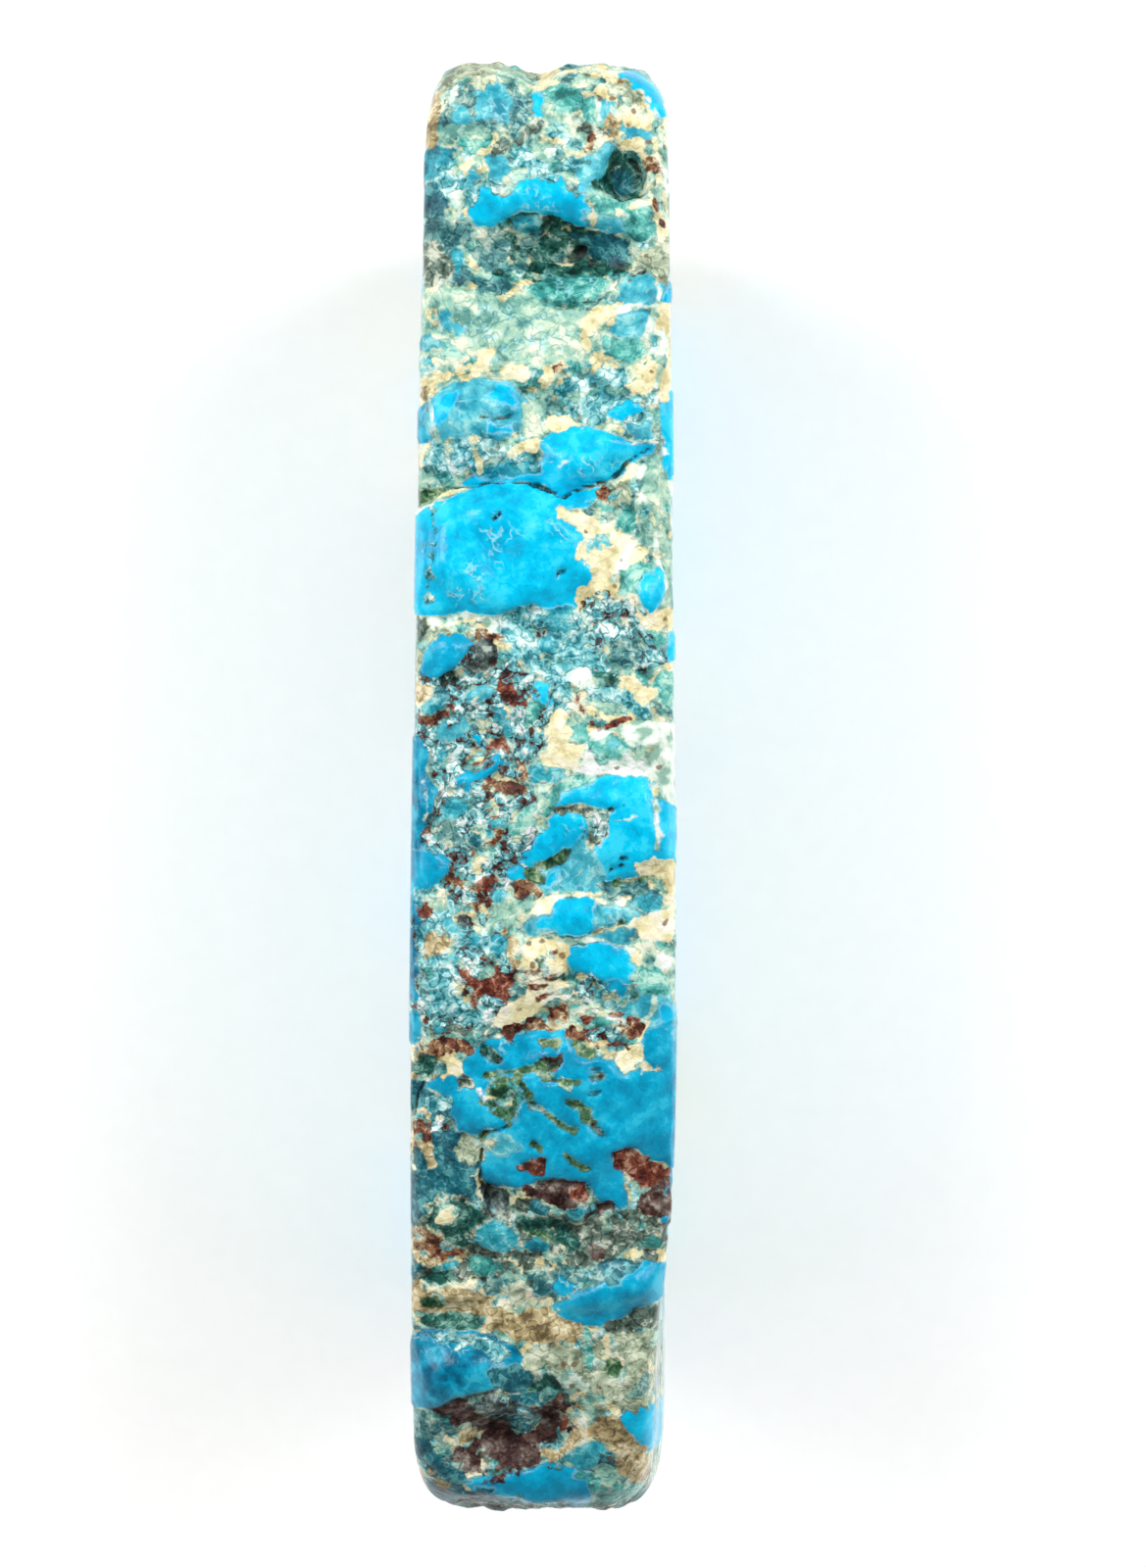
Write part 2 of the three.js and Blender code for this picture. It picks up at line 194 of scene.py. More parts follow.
# The top end of the rough edge, down to the blue ledge and the round pit.
HEAD = [
    ("slate", "grey blue of the head",
     "440,118 452,100 470,84 492,86 512,80 528,86 540,100 545,116 538,128 520,133 498,130 470,134 450,130"
     " 442,128"),
    ("aqua", "blue smudge", "486,92 500,88 514,88 520,98 522,112 518,124 506,126 494,120 484,116 480,104"),
    ("aqua", "pale blue left of the smudge", "462,106 478,108 484,122 472,130 462,124"),
    ("mint", "pale green of the head", "446,132 462,130 480,128 500,130 498,136 480,138 462,144 448,146"),
    ("mint", "green right of the round spot", "556,104 566,102 574,112 584,118 580,128 566,130 556,122"),
    ("sand", "head rim",
     "440,112 446,84 458,70 470,61 492,57 512,60 526,64 540,72 548,84 538,78 524,69 512,67 506,76 500,84"
     " 494,91 488,84 480,76 470,80 462,86 450,100"),
    ("tan", "left strip of the head",
     "430,124 436,98 450,94 452,108 446,120 442,134 446,148 436,154 430,150"),
    ("chalk", "head glint", "458,106 461,94 466,84 472,80 470,92 463,104"),
    ("mint", "green under the rim", "513,68 524,70 536,76 546,84 540,90 528,84 516,82 508,86"),
    ("cream", "cream right of the notch",
     "546,84 560,74 590,70 612,70 632,74 636,90 648,96 662,104 674,112 684,130 690,160 690,250 673,252"
     " 667,215 660,190 655,170 648,158 636,150 632,138 640,128 630,116 622,104 608,100 596,92 592,84 575,86"
     " 560,88 548,92"),
    ("mint", "green in the cream of the notch", "562,80 584,76 606,77 618,84 600,89 578,84 566,86"),
    ("sand", "grey in the cream of the notch", "620,84 640,92 652,102 664,112 656,118 640,106 626,96"),
    ("mint", "green of the right rim of the head", "668,126 680,140 686,170 684,200 678,196 676,168 668,146"),
    ("rust", "brown streak of the right rim of the head", "662,162 667,180 670,204 674,226", 1.6),
    ("chalk", "white streak of the right rim of the head", "672,150 678,176 681,206 684,240", 1.5),
    ("chalk", "second white streak of the right rim", "658,146 668,166 674,196 676,232", 1.0),
    ("teal", "first teal chip", "556,96 562,88 590,90 592,104 584,112 570,116 560,108"),
    ("blue", "round blue spot", "543,100 549,95 558,95 563,102 562,110 554,116 545,114"),
    ("teal", "second teal chip", "596,104 606,100 608,120 602,125 597,118"),
    ("aqua", "third teal chip", "612,102 620,101 628,106 627,116 620,120 612,122"),
    ("chalk", "sliver between the chips", "607,100 610,110 612,122", 1.2),
    ("blue", "corner chip",
     "629,74 643,73 658,80 671,93 679,112 681,124 670,116 660,104 648,92 636,86 630,82"),
    ("chalk", "glint on the corner", "662,102 668,112 673,124", 1.6),
    ("clay", "brown smear", "586,130 598,122 612,126 622,132 612,138 596,137"),
    ("tan", "brown sand of the head", "618,126 626,120 637,119 633,130 626,137 614,137"),
    ("rust", "rust of the head", "597,136 603,136 605,149 599,153"),
    ("aqua", "pale blue shelf at the right", "632,130 645,127 658,130 666,138 660,145 646,142 634,142"),
    ("ice", "pale middle of the head",
     "520,152 540,142 556,136 575,134 588,142 592,158 590,176 570,180 545,178 525,172"),
    ("clay", "dark groove",
     "500,150 512,140 528,135 545,128 548,121 557,124 554,133 542,141 530,148 514,154 504,155"),
    ("teal", "teal under the groove", "462,142 478,138 500,138 498,148 480,152 464,150"),
    ("mint", "pale saddle", "540,148 560,142 580,146 590,154 580,164 560,168 545,160"),
    ("chalk", "white of the saddle", "557,150 568,149 571,160 560,161"),
    ("aqua", "pale blue scrap", "496,160 506,156 518,160 521,174 514,183 500,183 496,172"),
    ("ice", "pale scree at the left",
     "446,158 470,155 482,165 472,176 480,190 481,200 470,212 466,221 458,208 450,190"),
    ("azure", "upper left azure", "429,160 438,152 456,150 466,152 458,164 450,174 444,182 436,186 429,180"),
    ("aqua", "blue on the scree", "464,180 480,175 490,182 479,190 466,193"),
    ("chalk", "white tooth", "459,197 474,195 470,212 466,220 461,209"),
    ("petrol", "dark blue at the left", "429,198 436,186 444,184 451,194 457,208 452,218 440,224 429,220"),
    ("ice", "pale blue between the two blues", "452,170 464,166 474,172 478,184 468,192 458,194 450,184"),
    ("aqua", "blue over the right pod", "600,214 616,216 630,222 636,236 624,240 610,234 600,226"),
    ("aqua", "blue smudge, lower", "478,112 492,108 506,116 500,124 486,122"),
    ("cream", "cream fleck", "466,168 484,165 489,171 476,176 467,174"),
    ("ice", "pale grains over the ledge",
     "482,191 495,184 510,186 524,181 532,184 520,190 508,197 500,190 488,196 483,206"),
    ("blue", "bright blue over the ledge",
     "546,184 560,178 578,179 592,184 602,196 590,202 578,197 564,202 554,194"),
    ("blue", "blue ledge",
     "480,218 482,203 490,192 502,190 506,200 514,206 524,196 534,185 548,181 556,192 566,200 580,196"
     " 594,202 602,216 604,229 594,230 580,227 566,221 548,217 530,215 514,223 500,229 486,229"),
    ("slate", "grey blue by the pit", "575,162 592,156 598,166 594,184 586,196 578,194 572,180"),
    ("aqua", "left wall of the pit",
     "586,184 590,172 598,162 610,156 622,152 628,156 622,166 618,176 616,186 606,192 594,192"),
    ("ice", "pale blue wash by the pit", "574,170 584,162 594,160 590,172 584,184 576,182"),
    ("teal", "teal under the pit", "600,192 620,198 640,205 655,209 645,217 612,214 600,204"),
    # Painted shade: the dark floor and darker right side of the round pit, whose left wall is lit.
    ("moss", "deep round pit",
     "620,164 630,156 644,158 654,168 658,182 656,194 648,203 634,204 620,198 610,194 604,186 612,183"
     " 618,178"),
    ("petrol", "floor of the pit", "622,178 632,172 642,180 646,192 636,200 624,196"),
    ("dark", "bottom of the pit", "638,160 647,165 652,176 652,190 646,186 641,174"),
    ("aqua", "small blue under the pit", "609,216 632,214 628,224 622,234 614,237 610,228"),
    ("teal", "teal pod at the right", "640,222 650,215 662,213 668,224 670,240 660,245 646,243 639,233"),
    ("cream", "cream seam by the ledge", "600,208 605,219 606,231", 1.6),
    ("cream", "cream seam over the pod", "632,217 645,210 656,208 666,213", 1.8),
    (FROST, "frost on the ledge", "520,192 545,188 562,200 574,214 552,217 530,212"),
    (FROST, "frost on the head", "484,96 520,88 545,112 530,126 500,126"),
    (DOTS, "dots in the head's cream", "460,66 505,60 500,84 470,78"),
    (DOTS, "dots right of the notch", "560,76 630,74 684,130 684,200 664,196 640,126 600,94"),
]

# The hollow under the ledge, with its pale lip, the knuckle and the cream knolls.
HOLLOW = [
    ("slate", "slate under the ledge",
     "426,228 444,222 462,226 478,230 486,240 480,254 482,276 472,292 462,288 460,264 448,252 426,250"),
    ("clay", "grey-brown cheek", "426,250 446,250 456,256 462,268 460,284 446,293 426,294"),
    ("azure", "azure in the cheek", "461,256 472,252 474,270 470,286 463,284"),
    # Painted shade: the dark greens, dark blues and darks of the hollow stand partly for the shade under the
    # ledge.
    ("moss", "scooped hollow",
     "516,228 530,219 548,218 562,219 574,227 596,233 620,238 642,244 644,262 636,276 620,276 606,282"
     " 590,282 570,286 556,292 540,286 526,284 506,280 500,274 518,268 524,250 518,238"),
    ("azure", "dark blue in the hollow", "520,222 534,219 552,219 552,232 540,244 524,238"),
    ("petrol", "dark teal in the hollow", "576,236 600,240 625,238 640,248 640,266 624,270 604,262 588,248"),
    ("slate", "pale ledge in the hollow", "532,240 548,236 560,240 552,248 538,256 528,250"),
    ("slate", "lower ledge of the hollow", "512,270 530,266 552,270 570,274 560,284 536,282 516,280"),
    ("moss", "dark rib in the hollow", "536,272 552,252 575,243 592,246 572,254 562,266 552,280 540,280"),
    ("dark", "first dark of the hollow", "554,224 562,222 565,232 557,236"),
    ("dark", "second dark of the hollow", "566,263 576,257 590,252 599,251 597,260 586,266 573,268"),
    ("olive", "brown streak in the hollow", "524,266 540,262 556,268 570,272", 1.8),
    ("slate", "grey-green cheek", "480,246 495,237 512,240 522,252 518,266 506,276 488,274 478,262"),
    ("mint", "pale crust",
     "424,300 446,296 460,292 480,296 490,302 510,300 528,298 546,304 560,313 582,315 600,313 598,330"
     " 590,344 600,360 596,372 560,374 520,370 500,356 484,358 476,372 440,378 424,374"),
    ("slate", "wash under the hollow", "484,288 504,280 524,284 530,296 510,301 488,301"),
    ("teal", "lip of the hollow",
     "540,292 556,284 575,280 600,277 616,284 612,300 600,311 576,313 552,309 540,302"),
    ("moss", "shade under the lip", "560,306 580,311 602,309 614,302", 1.6),
    ("sand", "right knuckle",
     "646,268 656,256 668,250 684,246 688,270 678,284 672,293 664,286 660,276 650,274"),
    ("clay", "dark side of the knuckle", "640,278 655,274 666,284 656,290 642,286"),
    ("aqua", "blue by the knuckle", "633,292 642,283 652,284 656,294 652,308 638,313 631,304"),
    ("aqua", "third blue by the knuckle", "646,284 656,280 668,286 676,296 672,308 660,312 650,304"),
    ("aqua", "second blue by the knuckle", "657,296 667,292 670,306 660,310"),
    ("blue", "blue of the right corner", "672,290 688,286 688,312 674,315"),
    ("cream", "speckled cream",
     "596,330 606,316 616,311 629,310 626,322 614,332 606,342 600,358 593,352 593,340"),
    ("cream", "right edge cream", "664,312 688,308 688,400 676,404 676,345 668,326"),
    ("aqua", "teal-blue blob", "624,334 634,320 650,318 662,322 664,334 656,344 642,346 630,343"),
    ("teal", "dimple", "615,345 630,344 646,350 656,346 659,358 648,368 634,365 620,358"),
    ("chalk", "white web above", "628,316 645,315 656,310 669,316", 1.7),
    ("chalk", "white web down", "669,288 672,302 668,318 665,330 659,343", 2.0),
    ("aqua", "pale blue curl", "449,314 460,312 462,328 478,338 472,347 456,340 448,330"),
    ("mint", "left pale scrap", "424,324 444,316 442,332 436,346 424,342"),
    ("azure", "left azure scrap", "424,348 440,340 456,344 460,354 440,359 424,357"),
    ("azure", "second left azure scrap", "424,362 440,360 443,376 424,380"),
    ("teal", "teal wash", "456,352 470,356 478,364 460,368 448,364"),
    ("cream", "first cream knoll", "480,374 488,360 500,356 505,366 503,385 492,381 483,384"),
    ("cream", "second cream knoll", "514,378 526,370 541,372 543,392 526,393 513,385"),
    ("cream", "third cream knoll", "549,389 554,376 568,373 584,371 581,383 566,385 558,393"),
    ("rust", "rust on the third knoll", "566,376 580,378 578,383 566,381"),
    ("cream", "cream line at the left", "424,391 446,388 460,381 478,374", 2.8),
    ("tan", "tan under the line", "424,393 448,391 446,402 432,407 424,405"),
    ("ice", "ice by the dimple", "594,380 612,374 636,374 643,388 624,397 604,393"),
    ("ice", "pale blue under the knoll", "562,390 576,386 592,388 597,396 582,402 566,400"),
    ("cream", "speckled right cream",
     "640,394 652,382 658,371 672,368 688,374 688,394 676,405 660,405 648,402"),
    ("chalk", "white line at the right", "674,340 679,358 673,378 668,398 666,414 661,430", 1.8),
    (FROST, "frost on the pale crust", "470,306 560,316 590,330 585,360 520,366 470,345"),
    (FROST, "frost on the hollow's lip", "556,284 610,280 608,300 570,306"),
    (DOTS, "dots in the knuckle", "650,262 676,256 676,286 660,280"),
    (DOTS, "dots in the knolls", "484,358 502,358 502,382 484,380"),
    (DOTS, "dots at the right", "650,384 680,374 682,398 656,402"),
]

# The cushion at the left and the swell at the right, down to the long crack.
CUSHIONS = [
    ("aqua", "whole cushion",
     "439,412 448,400 462,394 480,391 500,390 518,391 532,402 541,414 539,428 528,441 506,449 486,446"
     " 466,446 450,446 440,436"),
    ("blue", "upper left cushion", "440,414 450,401 464,395 474,400 468,412 460,420 456,432 448,440 441,434"),
    ("blue", "middle of the cushion",
     "492,400 504,392 518,392 530,402 540,414 534,422 520,418 506,412 496,408"),
    ("blue", "lower part of the cushion", "494,426 510,430 526,430 522,440 508,447 492,444"),
    ("aqua", "crust on the cushion", "468,418 478,408 488,412 494,420 490,434 482,444 472,440"),
    ("aqua", "grains on the cushion", "456,430 468,424 478,430 472,442 460,442"),
    (CRACKS, "seam in the cushion", "489,424 504,428 521,423", 1.4),
    # Painted shade: the left rim, drawn in the darker deep blue where it turns away from the light.
    ("deep", "left polished rim of the cushion", "420,420 434,414 438,430 436,450 420,450"),
    ("chalk", "white rim of the cushion", "438,404 443,420 442,436 446,453", 1.5),
    ("mint", "slanting mint",
     "541,410 554,404 562,414 556,424 544,436 530,444 514,459 507,456 520,442 532,434"),
    ("cream", "cream over the swell", "556,422 568,422 584,432 602,438 588,443 570,443 554,440"),
    ("ice", "pale strip", "570,416 590,404 610,401 640,408 661,405 667,424 646,430 630,433 606,429 586,425"),
    ("blue", "blue of the strip", "624,412 646,408 654,420 638,429 622,424"),
    ("aqua", "blue-green spot", "639,430 652,432 663,427 665,443 654,447 643,442"),
    ("blue", "blue right rim", "675,404 690,396 690,502 680,504 677,470"),
    ("blue", "upper right swell",
     "552,452 566,440 590,436 612,440 628,448 646,454 666,452 664,462 648,470 636,480 620,490 600,494"
     " 582,499 574,508 566,503 560,494 550,486 552,474 560,464"),
    ("blue", "crumbled blue of the swell", "578,470 596,460 620,466 638,470 626,484 606,487 590,493 577,487"),
    ("chalk", "white line of the swell", "560,471 570,474 581,472", 1.0),
    ("chalk", "white corner of the swell", "643,452 658,448 674,452 677,461", 1.3),
    ("cream", "cream tongue", "516,463 530,452 548,445 555,452 548,461 534,467"),
    ("ice", "crust above the crack", "436,454 470,446 500,444 512,456 498,470 474,480 450,482 434,474"),
    ("chalk", "first splinter", "451,451 462,479", 2.0),
    ("cream", "second splinter", "481,446 488,472 492,480", 1.6),
    ("mint", "left mint of the crack", "420,482 438,474 448,490 432,496 420,496"),
    ("ice", "grains above the crack", "518,464 536,460 556,470 550,478 530,472"),
    # Painted shadow: the duller blue under the overhang of the crust above the crack.
    ("azure", "undercut", "482,477 500,479 524,472 550,470 552,479 524,485 500,486"),
    ("blue", "blue band in the undercut",
     "470,495 484,488 504,486 530,485 552,480 553,493 526,491 500,490 484,496"),
    (FROST, "frost on the cushion", "456,402 476,400 470,436 450,440"),
    (FROST, "frost on the crust", "440,450 500,446 510,470 450,480"),
    (FROST, "frost on the swell", "584,466 620,462 634,472 600,488 582,484"),
]

# The great blue plate under the crack and the matrix beside it.
PLATE = [
    ("cream", "matrix beside the plate",
     "566,524 582,520 592,516 600,520 610,528 622,538 636,544 650,546 664,560 660,572 648,570 636,578"
     " 630,590 634,608 644,620 660,628 676,622 690,612 690,642 600,644 588,622 587,606 600,600 606,588"
     " 602,578 590,568 588,558 596,548 590,540 578,534"),
    ("blue", "great blue plate",
     "418,532 436,518 456,511 476,506 494,495 520,493 546,497 560,503 574,510 590,505 606,499 614,503"
     " 600,514 588,518 572,520 566,525 578,537 590,541 594,550 588,558 587,566 596,574 602,580 604,590"
     " 598,600 590,604 588,614 586,624 570,634 560,622 545,618 528,618 512,624 490,626 470,622 452,626"
     " 438,628 418,624"),
    ("blue", "crumbled corner of the plate",
     "558,506 574,511 590,506 604,501 610,505 596,514 574,519 562,518"),
    (CRACKS, "crack, left run", "456,500 478,496 500,491 524,492 548,496 561,500", 1.4),
    (CRACKS, "crack, drop in the middle", "560,500 566,505 574,508 583,501", 1.7),
    (CRACKS, "crack, right run", "583,501 600,496 618,492 630,484 640,472 652,464 665,457", 1.4),
    (CRACKS, "crack, step at the right", "626,487 640,472", 2.4),
    (CRACKS, "crack, step in the middle", "549,494 561,501", 2.4),
    ("olive", "mouth of the crack", "418,512 428,503 442,499 458,497 452,505 442,513 430,517 418,526"),
    ("cream", "cream lip of the crack", "441,515 450,504 466,501 484,500 470,506 456,513"),
    ("chalk", "pale rim of the plate", "419,532 432,519 446,512 462,509", 1.0),
    ("mint", "mint of the matrix",
     "600,516 612,508 622,496 634,484 644,472 656,466 672,470 684,490 690,520 690,614 678,622 680,600"
     " 674,580 664,562 652,548 638,544 622,538 610,528"),
    ("sand", "sandy wash of the matrix", "612,512 626,500 640,492 650,504 640,514 624,520"),
    ("cream", "cream fringe under the crack", "626,498 640,478 652,468 650,478 640,490"),
    ("rust", "rust in the matrix", "609,504 620,498 633,504 626,510 613,509"),
    ("teal", "teal pod, upper left", "626,530 638,519 651,515 652,534 640,541 628,539"),
    ("slate", "grey green of the pod", "612,528 622,520 632,524 624,534"),
    ("mint", "mint pod, upper right", "656,522 672,514 684,526 677,539 661,541"),
    ("aqua", "small pale blue pod", "597,555 606,546 618,548 621,558 610,564 599,563"),
    ("chalk", "white blade", "657,473 652,496 651,520 648,541", 1.9),
    ("chalk", "second white blade", "641,560 634,574 627,590", 2.2),
    ("chalk", "third white blade", "668,545 674,575 684,615", 1.3),
    ("chalk", "fourth white blade", "684,500 682,530 686,570", 1.2),
    ("chalk", "branch of the white blade", "652,500 660,516 664,536", 1.0),
    ("chalk", "second branch of the white blade", "640,560 652,552 664,558", 1.2),
    ("teal", "teal side of the pod", "629,588 640,578 650,571 660,581 655,596 649,607 638,607 631,598"),
    ("blue", "blue pod", "652,588 664,581 675,586 678,600 673,614 664,626 656,619 652,606 646,600"),
    ("salt", "grains under the matrix", "598,612 616,609 634,611 640,622 652,634 640,644 600,644 592,628"),
    # Painted highlight: the pale line along the plate's left bevel, where it catches the light.
    ("ice", "bevel of the plate", "441,520 444,545 441,575 438,600 436,618", 0.7),
    ("dark", "first pore in the plate", "570,586 577,585", 1.2),
    ("dark", "second pore in the plate", "504,531 510,526", 0.8),
    (FROST, "scuff on the plate", "484,534 502,524 524,536 540,552 530,575 508,578 496,558"),
    (FROST, "second scuff", "452,588 484,572 504,590 494,612 460,616"),
    (FROST, "third scuff", "556,530 576,538 580,556 560,560"),
    (DOTS, "dots in the matrix", "600,560 640,560 650,612 690,620 690,640 640,620 600,596"),
    (DOTS, "more dots in the matrix", "578,526 612,520 620,545 592,545"),
]

# The granular crust, with its shelf, its nest and its rust.
CRUST = [
    ("chalk", "white band under the plate",
     "420,634 436,628 456,627 478,625 500,628 514,640 508,654 496,650 480,641 462,637 446,642 432,650"
     " 420,650"),
    ("cream", "cream of the band", "446,636 470,630 494,636 506,648 494,647 478,638 462,635 450,640"),
    ("clay", "brown start of the band", "418,634 434,632 440,642 430,652 418,652"),
    ("salt", "crust bed",
     "418,690 440,694 466,682 478,670 492,690 514,668 530,676 545,690 562,700 566,730 556,745 552,775"
     " 560,790 545,800 540,830 548,870 522,900 512,930 502,960 522,1000 500,1040 470,1062 430,1058 424,1000"
     " 426,930 440,905 458,890 452,872 436,862 434,850 444,830 446,806 434,795 436,770 430,750 418,745"),
    ("ice", "granular blue",
     "504,642 516,625 540,619 560,622 580,630 590,640 602,650 622,648 624,682 600,690 578,678 560,674"
     " 545,690 530,680 514,670 508,656"),
    ("azure", "azure under the plate", "543,627 560,620 584,622 593,632 588,643 570,645 549,641"),
    ("azure", "azure in the grains", "542,658 560,646 577,652 571,665 550,666"),
    ("rust", "rust grain under the plate", "544,646 552,638 562,641 557,651 547,653"),
    ("salt", "right grains",
     "600,642 620,632 650,634 662,648 678,660 682,674 660,682 640,686 620,684 604,664"),
    ("slate", "smooth grey teal", "618,656 634,646 650,650 658,664 648,681 630,687 619,677"),
    ("teal", "right teal chip", "660,645 668,640 680,646 679,657 668,661"),
    ("teal", "lower right teal chip", "667,695 678,682 690,690 690,716 675,719 666,708"),
    ("blue", "blue of the right rim", "684,646 690,644 690,678 682,672"),
    ("sand", "halo of the left cushion", "424,690 430,664 436,650 448,643 466,642 482,650 490,660", 2.4),
    ("lake", "left cushion",
     "446,649 458,646 474,649 485,657 482,667 470,675 462,685 452,693 440,692 430,686 434,668"),
    ("lead", "smooth grey",
     "482,660 494,653 506,658 508,668 500,680 492,690 482,692 474,684 466,678 478,670"),
    ("rust", "brown edge of the grey", "484,654 496,648 508,654 514,664", 1.4),
    ("dark", "black grains", "446,693 458,685 469,690 469,701 452,703"),
    ("petrol", "dark blue bar of the crust", "440,703 448,700 458,704 454,710 442,709"),
    ("aqua", "pale blue grains of the crust", "478,706 490,698 504,700 500,712 486,718 474,716"),
    ("teal", "teal pod of the crust", "536,718 546,714 556,720 554,732 542,738 536,730"),
    ("cream", "cream splinter", "476,722 484,714 492,706", 1.2),
    ("maroon", "red-brown by the left scrap", "452,716 462,714 468,722 460,732 450,728"),
    ("aqua", "blue over the splinter", "502,722 512,724 520,734 528,748 520,752 510,742 502,732"),
    ("tan", "tan of the left rim", "418,690 436,692 443,704 440,715 430,722 418,720"),
    ("azure", "left azure scrap of the crust", "428,724 440,712 456,705 461,714 448,723 436,729"),
    ("ice", "ice above the shelf",
     "556,674 590,678 602,690 604,702 622,704 622,723 596,712 585,706 589,723 566,727 554,716 546,698"),
    ("chalk", "white tip", "576,688 600,683 604,700 588,703"),
    ("blue", "blue spot of the crust", "543,702 551,696 560,698 565,708 562,721 552,719 546,712"),
    ("maroon", "rust run", "505,697 512,689 522,692 526,704 532,712 544,716 536,724 520,722 510,718 506,708"),
    ("ice", "ice at the right", "622,708 648,702 662,716 656,728 630,726"),
    ("moss", "dark chip above", "611,690 626,685 632,694 618,699"),
    ("cream", "cream slope", "630,690 645,685 658,696 668,706 666,717 650,713 640,701"),
    ("dark", "black fleck", "649,682 658,679 661,687 652,689"),
    ("cream", "cream over the shelf",
     "584,711 594,704 601,718 609,728 630,731 648,733 642,743 622,745 603,745 595,734 587,724"),
    ("maroon", "rust line of the shelf", "588,712 594,724 602,736 612,742 628,740 644,735", 2.6),
    ("mint", "mint over the rust line", "600,713 620,711 642,726 622,731 607,725"),
    ("cream", "cream by the shelf",
     "554,736 572,725 585,730 581,742 587,752 597,758 595,785 578,783 554,783 550,772 560,758 555,748"),
    ("chalk", "white shelf",
     "604,747 630,742 660,737 690,736 690,846 680,830 672,806 662,794 640,791 600,791 590,787 596,760"),
    ("teal", "teal chip of the shelf", "581,744 590,735 601,740 605,752 594,759 583,755"),
    ("teal", "teal pocket of the shelf", "599,759 618,750 634,753 641,764 631,773 612,779 603,769"),
    ("aqua", "pale blue in the pocket", "616,758 630,756 636,765 622,769"),
    ("mint", "mint patch of the shelf", "643,765 654,759 666,764 661,777 647,777"),
    ("azure", "first square chip", "541,783 550,776 557,786 559,795 546,797"),
    ("azure", "second square chip", "559,786 570,780 578,792 568,799 559,797"),
    ("lake", "blue hook",
     "463,800 468,786 476,784 484,789 500,780 505,770 513,768 511,783 497,790 488,796 480,807"),
    ("blue", "blue slip above the hook", "476,748 486,752 494,762", 2.6),
    ("aqua", "pale blue cloud", "446,750 450,740 462,734 474,733 480,742 472,754 460,760 450,758"),
    ("azure", "azure cloud", "440,764 452,760 456,772 448,780 440,778"),
    ("azure", "azure chip in the crust", "505,732 514,740 520,754", 2.6),
    ("tan", "tan splinter", "489,735 499,742 511,753 505,757 495,748"),
    ("maroon", "rust by the splinter",
     "500,756 512,752 520,760 522,770 512,768 504,766 494,776 482,782 470,780 478,772 490,768"),
    ("rust", "rust down to the block", "522,776 534,774 542,786 542,800 536,814 526,812 524,800 530,790"),
    ("rust", "brown grains under the hook", "486,796 500,794 512,798 520,806 510,812 498,806 486,804"),
    ("salt", "white grains over the nest", "470,806 486,806 500,808 512,816 500,814 480,810"),
    ("teal", "teal of the crust's right", "516,846 526,834 540,824 546,830 544,842 534,852 522,856"),
    ("plum", "rust above the hook", "470,776 482,772 494,770", 2.0),
    ("rust", "rust under the hook", "484,798 500,790 520,796 540,800 540,812 524,816 506,806 490,808"),
    ("rust", "rust of the left rim", "420,728 440,730 456,722 460,730 446,742 426,746"),
    ("moss", "dark bits under the plate", "566,698 556,724 560,738 550,744", 1.2),
    ("slate", "round crust nest",
     "438,838 444,820 456,811 480,810 500,816 512,832 508,852 490,862 466,864 448,860 440,850"),
    ("salt", "grains of the nest", "464,828 484,822 500,830 496,846 474,846"),
    ("plum", "brown edge of the nest", "458,804 448,810 441,822 435,838 438,850 432,858", 1.8),
    ("azure", "azure of the nest", "442,828 452,816 468,814 480,820 476,832 462,838 446,842"),
    ("azure", "blue of the nest", "496,842 508,834 516,840 508,852 496,854"),
    ("rust", "rust in the nest", "496,822 506,824 512,836 502,836"),
    ("rust", "orange rust",
     "476,866 488,864 496,856 504,846 512,842 514,852 506,864 496,870 486,878 478,876"),
    ("cream", "orange cream", "486,868 496,862 502,868 496,880 488,880"),
    ("cream", "cream in the rust", "484,874 496,868 502,882 490,894 482,890"),
    ("maroon", "rust scatter", "486,894 506,890 512,900 500,912 512,920 500,934 486,924 478,908"),
    ("petrol", "dark blue eye", "477,852 488,849 493,856 486,864 478,861"),
    ("azure", "azure eye", "501,913 512,907 518,914 512,920 503,920"),
    ("teal", "smooth teal by the block", "525,832 538,824 546,836 540,850 528,851"),
    # Painted shade: the left rim, drawn in the darker deep blue where it turns away from the light.
    ("deep", "left polished rim, upper",
     "416,752 429,749 435,766 431,788 440,800 446,808 438,828 433,850 430,866 416,868"),
    ("chalk", "glint of the left rim", "431,800 434,820 432,838", 1.0),
    ("maroon", "rust at the rim", "429,848 438,842 442,856 434,863"),
    ("lake", "blue bay", "416,866 436,865 452,871 461,883 457,895 440,902 430,912 416,912"),
    ("rust", "rust under the bay", "446,898 460,889 472,896 480,902 470,909 456,904"),
    (FROST, "frost on the granular blue", "508,640 560,624 600,660 590,690 540,690"),
    (FROST, "frost on the right grains", "604,650 660,640 676,668 640,680 610,676"),
    (FROST, "frost on the ice above the shelf", "556,676 600,690 620,706 600,712 560,722"),
    (DOTS, "dots on the shelf", "606,746 688,738 688,800 640,786 606,784"),
]

